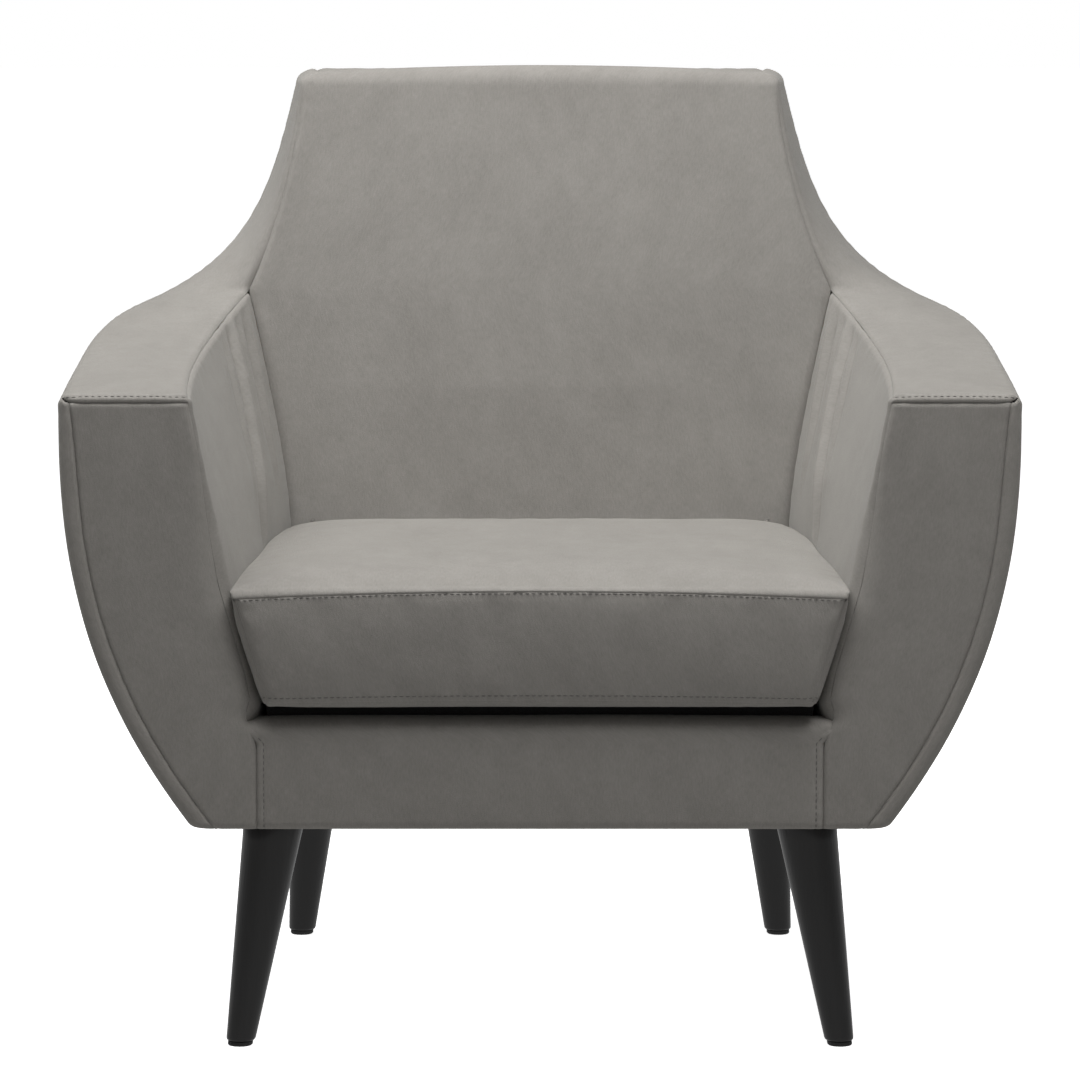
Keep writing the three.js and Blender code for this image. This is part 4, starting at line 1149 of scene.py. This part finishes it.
cushion_parts = [spaced(CUSHION_WIDE), spaced(CUSHION_LONG), spaced(CUSHION_SIDE, 0.005)]
cushion_piece, cushion_faces = boxed(
    "seat_cushion_velour", cushion, cushion_parts, cushion_seams, swell,
    crown=0.0015, uneven=0.0009, spread=0.02, seed=91,
)
made(cushion_piece, velour, "velour", "cushion", fill=0.85, nodes=["seat_cushion_cover"])
for face, row, name in (
    ("front", np.s_[4:-4, -3], "front_top"), ("front", np.s_[4:-4, STITCH_ROW], "front_low"),
    ("right", np.s_[4:-4, -1 - STITCH_ROW], "right_top"), ("right", np.s_[4:-4, STITCH_ROW], "right_low"),
    ("left", np.s_[-1 - STITCH_ROW, 4:-4], "left_top"), ("left", np.s_[STITCH_ROW, 4:-4], "left_low"),
    ("rear", np.s_[-1 - STITCH_ROW, 4:-4], "rear_top"), ("rear", np.s_[STITCH_ROW, 4:-4], "rear_low"),
):
    sewn_face = cushion_faces[face]
    stitches(f"seat_cushion_stitch_{name}", sewn_face[row], surface_normal(sewn_face)[row], "cushion")

foam_finish = Finish("polyurethane_foam", {"Specular IOR Level": 0.2})
cells = foam_finish.noise(foam_finish.place(), (700.0, 700.0, 700.0), 2.0, 0.6)
foam = foam_finish.finished(
    cells, 0.001, Roughness=cells * 0.15 + 0.8,
    Base_Color=foam_finish.mix(cells, (0.62, 0.56, 0.40, 1), (0.80, 0.75, 0.60, 1)))


def foam_core(across, back, up):
    """The cushion's own shape, a few millimetres smaller all round."""
    return cushion(0.020 + 0.96 * across, 0.026 + 0.95 * back, 0.07 + 0.86 * up)


foam_piece, _ = boxed(
    "seat_cushion_foam_core", foam_core,
    [np.linspace(0, 1, 50), np.linspace(0, 1, 46), np.linspace(0, 1, 12)],
    lambda side: {}, uneven=0.0, spread=0.02, seed=95,
)
made(foam_piece, foam, "cushion_foam", "cushion", fill=0.9, nodes=["seat_cushion_foam"])

# ------------------------------------------------------------------------------------------
# Zip: woven tapes with a nylon coil along the middle of the rear boxing, and a die-cast slider
# with its pull hanging from it.

ZIP_LENGTH, ZIP_WIDTH, ZIP_THICK = 0.440, 0.007, 0.0022
ZIP_HEIGHT = (CUSHION_FOOT + CUSHION_HEAD) / 2
ZIP_START = 0.200
ZIP_GAP = 0.0014
ZIP_PROUD = 0.0034            # out of the boxing's middle line, over the cloth's crown


def on_zip(points):
    """From along, out and up the zip to the chair's axes: it leans with the inside back, and its
    ends follow the cushion's rounded corners."""
    along, out, up = points[..., 0], points[..., 1], points[..., 2]
    out = out - 3.6 * np.clip(np.abs(along) - 0.19, 0, None) ** 2
    depth = back_face(ZIP_HEIGHT) - CUSHION_GAP + out * math.cos(LEAN) + up * math.sin(LEAN)
    return place(along, depth, ZIP_HEIGHT - out * math.sin(LEAN) + up * math.cos(LEAN))


def rounded_box(counts, size, power=6.0):
    """A superellipsoid with the lattice of a box: squared corners with small rounds."""
    parts = [np.linspace(-1, 1, count) for count in counts]
    faces, start, points = [], 0, []
    for grid in lattice(parts).values():
        corner = np.stack([part[index] for part, index in zip(parts, grid)], axis=-1)
        reach = (np.abs(corner) ** power).sum(-1, keepdims=True) ** (-1 / power)
        points.append((corner * reach * np.array(size) / 2).reshape(-1, 3))
        faces.append(grid_faces(*corner.shape[:2], start))
        start += len(points[-1])
    points = np.concatenate(points)
    _, first, shared = np.unique(points.round(7), axis=0, return_index=True, return_inverse=True)
    return points[first], shared.ravel()[np.concatenate(faces)]


tape_finish = Finish("zip_tape", {"Specular IOR Level": 0.25})
tape_weave = tape_finish.noise(tape_finish.place(), (1800.0, 900.0, 2600.0), 1.0)
tape = tape_finish.finished(
    tape_weave, 0.0004, Roughness=tape_weave * 0.2 + 0.6,
    Base_Color=tape_finish.mix(tape_weave, (0.10, 0.096, 0.088, 1), (0.20, 0.19, 0.175, 1)))
tape_box = np.array([ZIP_LENGTH, ZIP_THICK * 0.6, ZIP_WIDTH])
tape_points, tape_faces = rounded_box((40, 3, 7), tape_box, 12.0)
tape_piece = mesh_piece(
    "zip_tapes", on_zip(tape_points + np.array([0, ZIP_PROUD - ZIP_THICK + tape_box[1] / 2, 0])), tape_faces)
made(tape_piece, tape, "zip_tape", "cushion", nodes=["zip_chain"])

TOOTH_PITCH = 0.0013
tooth_points, tooth_faces = rounded_box((3, 3, 4), (0.0010, 0.0012, 0.0026), 4.0)
tooth_count = int(ZIP_LENGTH // TOOTH_PITCH) - 2
tooth_index = np.arange(tooth_count)
tooth_places = np.stack([
    (tooth_index - tooth_count / 2) * TOOTH_PITCH,
    np.full(tooth_count, ZIP_PROUD - 0.0008),
    np.where(tooth_index % 2, 0.0009, -0.0009),
], axis=-1)
coil_points = (tooth_places[:, None] + tooth_points).reshape(-1, 3)
coil_faces = (tooth_index[:, None, None] * len(tooth_points) + tooth_faces).reshape(-1, 4)
coil_piece = mesh_piece("zip_coil", on_zip(coil_points), coil_faces)
coil_finish = Finish("zip_coil", {"Specular IOR Level": 0.5})
coil_scuff = coil_finish.noise(coil_finish.place(), (400.0, 400.0, 400.0))
coil = coil_finish.finished(
    Roughness=coil_scuff * 0.2 + 0.3,
    Base_Color=coil_finish.mix(coil_scuff, (0.10, 0.096, 0.088, 1), (0.16, 0.15, 0.14, 1)))
made(coil_piece, coil, "zip_tape", "cushion")

SLIDER_LONG, SLIDER_WIDE, SLIDER_THICK = 0.011, 0.010, 0.003
metal_finish = Finish("zinc_slider", {"Metallic": 1.0})
tarnish = metal_finish.noise(metal_finish.place(), (500.0, 500.0, 500.0), 3.0)
zip_metal = metal_finish.finished(
    Roughness=tarnish * 0.25 + 0.2,
    Base_Color=metal_finish.mix(tarnish, (0.42, 0.42, 0.43, 1), (0.62, 0.62, 0.63, 1)))
body_points, body_faces = rounded_box((13, 7, 13), (SLIDER_WIDE, SLIDER_THICK * 0.7, SLIDER_LONG), 5.0)
body_points[:, 0] *= 1 - 0.2 * (body_points[:, 2] / SLIDER_LONG + 0.5)
PULL_WIDE, PULL_LONG, PULL_WIRE = 0.0019, 0.0085, 0.0007
pull_turn = np.linspace(0, 2 * np.pi, 41)[:-1, None]
wire_turn = np.linspace(0, 2 * np.pi, 13)[None, :-1]
pull_points = np.stack(np.broadcast_arrays(
    (PULL_WIDE + PULL_WIRE * np.cos(wire_turn)) * np.cos(pull_turn),
    PULL_WIRE * np.sin(wire_turn),
    (PULL_LONG + PULL_WIRE * np.cos(wire_turn)) * np.sin(pull_turn),
), axis=-1).reshape(-1, 3)
ring_rows = np.arange(40)[:, None] * 12
ring_next = np.roll(ring_rows, -1, axis=0)
ring_columns = np.arange(12)[None]
ring_beyond = np.roll(ring_columns, -1, axis=1)
pull_faces = np.stack([
    (ring_rows + ring_columns).ravel(), (ring_next + ring_columns).ravel(),
    (ring_next + ring_beyond).ravel(), (ring_rows + ring_beyond).ravel()], axis=1)
slider_out = ZIP_GAP + SLIDER_THICK * 0.35 + 0.0005
slider_points = np.concatenate([
    body_points + np.array([ZIP_START, slider_out, 0.0005]),
    pull_points + np.array([ZIP_START, slider_out + SLIDER_THICK * 0.35, -0.0145]),
])
slider_piece = mesh_piece(
    "zip_slider_metal", on_zip(slider_points), np.concatenate([body_faces, pull_faces + len(body_points)]))
made(slider_piece, zip_metal, "zip_metal", "zip_slider", nodes=["zip_slider"])

# ------------------------------------------------------------------------------------------
# Dust cover: thin black spunbonded cloth stapled under the frame, sagging a little between
# its edges, let in round the legs' bolts.

DUST_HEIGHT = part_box("dust_cover")[0].z
DUST_INSET = 0.024
DUST_SAG = 0.003
DUST_THICK = 0.0009
DUST_ROWS, DUST_COLUMNS = 150, 140
BOLT_CLEARANCE = 0.008
BOLT_PLACES = ((0.2435, 0.070), (0.222, 0.560))

dust_back = np.linspace(0, 1, DUST_ROWS)[:, None]
dust_across = np.linspace(-1, 1, DUST_COLUMNS)[None]
dust_rear = float(rear_at(UNDERSIDE)) - DUST_INSET
dust_depth = DUST_INSET + (dust_rear - DUST_INSET) * dust_back
dust_half = outer_half(dust_depth, UNDERSIDE) - DUST_INSET
side_sag = (1 - dust_across ** 2) * (1 - (2 * dust_back - 1) ** 2)
waves = 0.0004 * np.sin(dust_across * 23 + dust_back * 7) * np.sin(dust_back * 31 + 1.3)
dust_z = DUST_HEIGHT + 0.0004 - DUST_SAG * side_sag + waves * (side_sag > 0.02) * side_sag
dust_points = place(dust_across * dust_half, dust_depth, dust_z).reshape(-1, 3)
dust_faces = grid_faces(DUST_ROWS, DUST_COLUMNS)
middles = dust_points[dust_faces].mean(1)
open_at = np.zeros(len(middles), bool)
for bolt_x, bolt_depth in BOLT_PLACES:
    off = np.hypot(np.abs(middles[:, 0]) - bolt_x, middles[:, 1] - FRONT - bolt_depth)
    open_at |= off < BOLT_CLEARANCE
dust_piece = new_piece("dust_cover_cloth", dust_points, dust_faces[~open_at, ::-1])
thicken = dust_piece.modifiers.new("thickness", "SOLIDIFY")
thicken.thickness = DUST_THICK
thicken.offset = 0
dust_finish = Finish("spunbonded_cloth", {"Specular IOR Level": 0.2})
dust_place = dust_finish.place()
bonds = dust_finish.node("ShaderNodeTexVoronoi", {}, {"Vector": dust_place, "Scale": 600.0})
fibre = dust_finish.noise(dust_place, (500.0, 500.0, 500.0), 3.0, 0.7)
dust_cloth = dust_finish.finished(
    bonds, 0.0004, Roughness=fibre * 0.2 + 0.7,
    Base_Color=dust_finish.mix(fibre, (0.010, 0.010, 0.011, 1), (0.030, 0.030, 0.032, 1)))
made(dust_piece, dust_cloth, "dust_cloth", nodes=["dust_cover"])

# ------------------------------------------------------------------------------------------
# Legs: turned, tapered and splayed, in satin black lacquer, each on a zinc hanger bolt with a
# black plastic glide nailed under it.

LEG_TOP_RADIUS, LEG_FOOT_RADIUS, LEG_EDGE = 0.028, 0.0135, 0.003
BOLT_BORE, BOLT_IN_LEG = 0.0044, 0.035
LEG_FOOT, LEG_HEAD = [corner.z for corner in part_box("front_leg_right")]
lacquer_finish = Finish("black_lacquer", {
    "Coat Weight": 0.30, "Coat Roughness": 0.14, "Specular IOR Level": 0.30,
})
lacquer_place = lacquer_finish.place()
wood_grain = lacquer_finish.noise(lacquer_place, (260.0, 260.0, 14.0), 3.0, 0.6)
lacquer = lacquer_finish.finished(
    wood_grain, 0.0003, Roughness=wood_grain * 0.14 + 0.30,
    Base_Color=lacquer_finish.mix(wood_grain, (0.008, 0.008, 0.008, 1), (0.016, 0.015, 0.015, 1)))
edge_turn = np.linspace(0, math.pi / 2, 7)
shoulder = np.linspace(0, math.pi / 2, 6)
leg_radii = np.concatenate([
    [0.0, 0.006], LEG_FOOT_RADIUS - LEG_EDGE * (1 - np.sin(edge_turn)),
    LEG_FOOT_RADIUS + (LEG_TOP_RADIUS - LEG_FOOT_RADIUS) * np.linspace(0, 1, 14)[1:-1],
    LEG_TOP_RADIUS - 0.001 * (1 - np.cos(shoulder)), [BOLT_BORE, BOLT_BORE, 0.0]])
leg_heights = np.concatenate([
    [LEG_FOOT, LEG_FOOT], LEG_FOOT + LEG_EDGE * (1 - np.cos(edge_turn)),
    LEG_FOOT + LEG_EDGE + (LEG_HEAD - LEG_FOOT - LEG_EDGE) * np.linspace(0, 1, 14)[1:-1],
    LEG_HEAD - 0.001 * (1 - np.sin(shoulder)), [LEG_HEAD, LEG_HEAD - BOLT_IN_LEG, LEG_HEAD - BOLT_IN_LEG]])
LEG_TURNS = 64
leg_angle = np.arange(LEG_TURNS)[None] * 2 * np.pi / LEG_TURNS
LEG_AXES = {"front": ((0.275, 0.050), (0.2435, 0.070)), "rear": ((0.242, 0.600), (0.222, 0.560))}
for end, (foot, head) in LEG_AXES.items():
    climb = leg_heights[:, None] / UNDERSIDE
    leg_x = foot[0] + (head[0] - foot[0]) * climb + leg_radii[:, None] * np.cos(leg_angle)
    leg_depth = foot[1] + (head[1] - foot[1]) * climb + leg_radii[:, None] * np.sin(leg_angle)
    leg_points = place(leg_x, leg_depth, leg_heights[:, None])
    around = np.arange(LEG_TURNS)
    rows = np.arange(len(leg_radii) - 1)[:, None] * LEG_TURNS
    leg_faces = np.stack([
        (rows + around).ravel(), (rows + np.roll(around, -1)).ravel(),
        (rows + LEG_TURNS + np.roll(around, -1)).ravel(), (rows + LEG_TURNS + around).ravel()], axis=1)
    _, first, shared = np.unique(
        leg_points.reshape(-1, 3).round(7), axis=0, return_index=True, return_inverse=True)
    for side, turned in TURNS:
        welded = turned(leg_points.reshape(-1, 3)[first])
        faces = shared.ravel()[leg_faces]
        if side == "left":
            faces = faces[:, ::-1]
        leg_piece = welded_piece(f"{end}_leg_lacquer_{side}", welded, faces)
        made(leg_piece, lacquer, "leg_lacquer", nodes=[f"{end}_leg_{side}"])

glide_finish = Finish("glide_plastic", {"Specular IOR Level": 0.4})
glide_scuff = glide_finish.noise(glide_finish.place(), (300.0, 300.0, 300.0), 3.0)
glide_plastic = glide_finish.finished(
    Roughness=glide_scuff * 0.3 + 0.4,
    Base_Color=glide_finish.mix(glide_scuff, (0.012, 0.012, 0.012, 1), (0.03, 0.03, 0.03, 1)))
zinc_finish = Finish("bolt_zinc", {"Metallic": 1.0})
zinc_cloud = zinc_finish.noise(zinc_finish.place(), (250.0, 250.0, 250.0), 3.0)
zinc = zinc_finish.finished(
    Roughness=zinc_cloud * 0.25 + 0.25,
    Base_Color=zinc_finish.mix(zinc_cloud, (0.45, 0.46, 0.48, 1), (0.68, 0.69, 0.70, 1)))
dress(glide_plastic, *[f"{end}_foot_glide_{side}" for end in LEG_AXES for side in SIDES])
dress(zinc, *[f"{end}_hanger_bolt_{side}" for end in LEG_AXES for side in SIDES])

# ------------------------------------------------------------------------------------------
# Studio: a plain white floor, one broad soft light overhead and a weaker one in front.

CAMERA_AHEAD = 4.9            # in front of the plane of the arm fronts
CAMERA_HEIGHT = 1.0377
CAMERA_PITCH = 6.592          # degrees down

scene = bpy.context.scene
camera = bpy.data.objects.new("camera", bpy.data.cameras.new("camera"))
camera.data.lens = 183.1
camera.data.sensor_width = 36
camera.location = (0, FRONT - CAMERA_AHEAD, CAMERA_HEIGHT)
camera.rotation_euler = (math.radians(90 - CAMERA_PITCH), 0, 0)
scene.collection.objects.link(camera)
scene.camera = camera

floor = bpy.data.meshes.new("floor")
floor.from_pydata([(-30, -30, 0), (30, -30, 0), (30, 30, 0), (-30, 30, 0)], [], [(0, 1, 2, 3)])
floor = bpy.data.objects.new("floor", floor)
scene.collection.objects.link(floor)
paper = Finish("white_floor", {
    "Roughness": 0.9, "Emission Color": (1, 1, 1, 1), "Emission Strength": 0.97, "Specular IOR Level": 0.0,
})
fibres = paper.noise(paper.place(), (40, 40, 40))
floor.data.materials.append(paper.finished(
    Base_Color=paper.mix(fibres, (0.86, 0.86, 0.86, 1), (0.9, 0.9, 0.9, 1))))
floor.visible_diffuse = False
floor.visible_glossy = False


def softbox(name, location, target, size, power):
    lamp = bpy.data.objects.new(name, bpy.data.lights.new(name, "AREA"))
    lamp.data.shape = "RECTANGLE"
    lamp.data.size, lamp.data.size_y = size
    lamp.data.energy = power
    lamp.location = location
    aim = Vector(target) - Vector(location)
    lamp.rotation_euler = aim.to_track_quat("-Z", "Y").to_euler()
    scene.collection.objects.link(lamp)


softbox("overhead", (-0.35, -0.45, 3.2), (0, 0.1, 0.4), (4.4, 1.7), 172)
softbox("front_fill", (0.6, -4.5, 1.6), (0, 0, 0.4), (3.0, 2.0), 8)

# The surroundings: white to the camera, and to the chair a dim room over a floor that throws
# light back up.
ROOM_LIGHT = 0.09
FLOOR_LIGHT = 0.52
world = bpy.data.worlds.new("studio")
world.use_nodes = True
scene.world = world
nodes, links = world.node_tree.nodes, world.node_tree.links
direction = nodes.new("ShaderNodeTexCoord")
height = nodes.new("ShaderNodeSeparateXYZ")
below = nodes.new("ShaderNodeMath")
below.operation = "LESS_THAN"
below.inputs[1].default_value = 0.0
strength = nodes.new("ShaderNodeMix")
strength.inputs[2].default_value = ROOM_LIGHT
strength.inputs[3].default_value = FLOOR_LIGHT
seen = nodes.new("ShaderNodeLightPath")
shown_strength = nodes.new("ShaderNodeMix")
shown_strength.inputs[3].default_value = 1.0
links.new(direction.outputs["Generated"], height.inputs[0])
links.new(height.outputs["Z"], below.inputs[0])
links.new(below.outputs[0], strength.inputs[0])
links.new(seen.outputs["Is Camera Ray"], shown_strength.inputs[0])
links.new(strength.outputs[0], shown_strength.inputs[2])
links.new(shown_strength.outputs[0], nodes["Background"].inputs["Strength"])
nodes["Background"].inputs["Color"].default_value = (1, 1, 1, 1)
scene.view_settings.view_transform = "Standard"
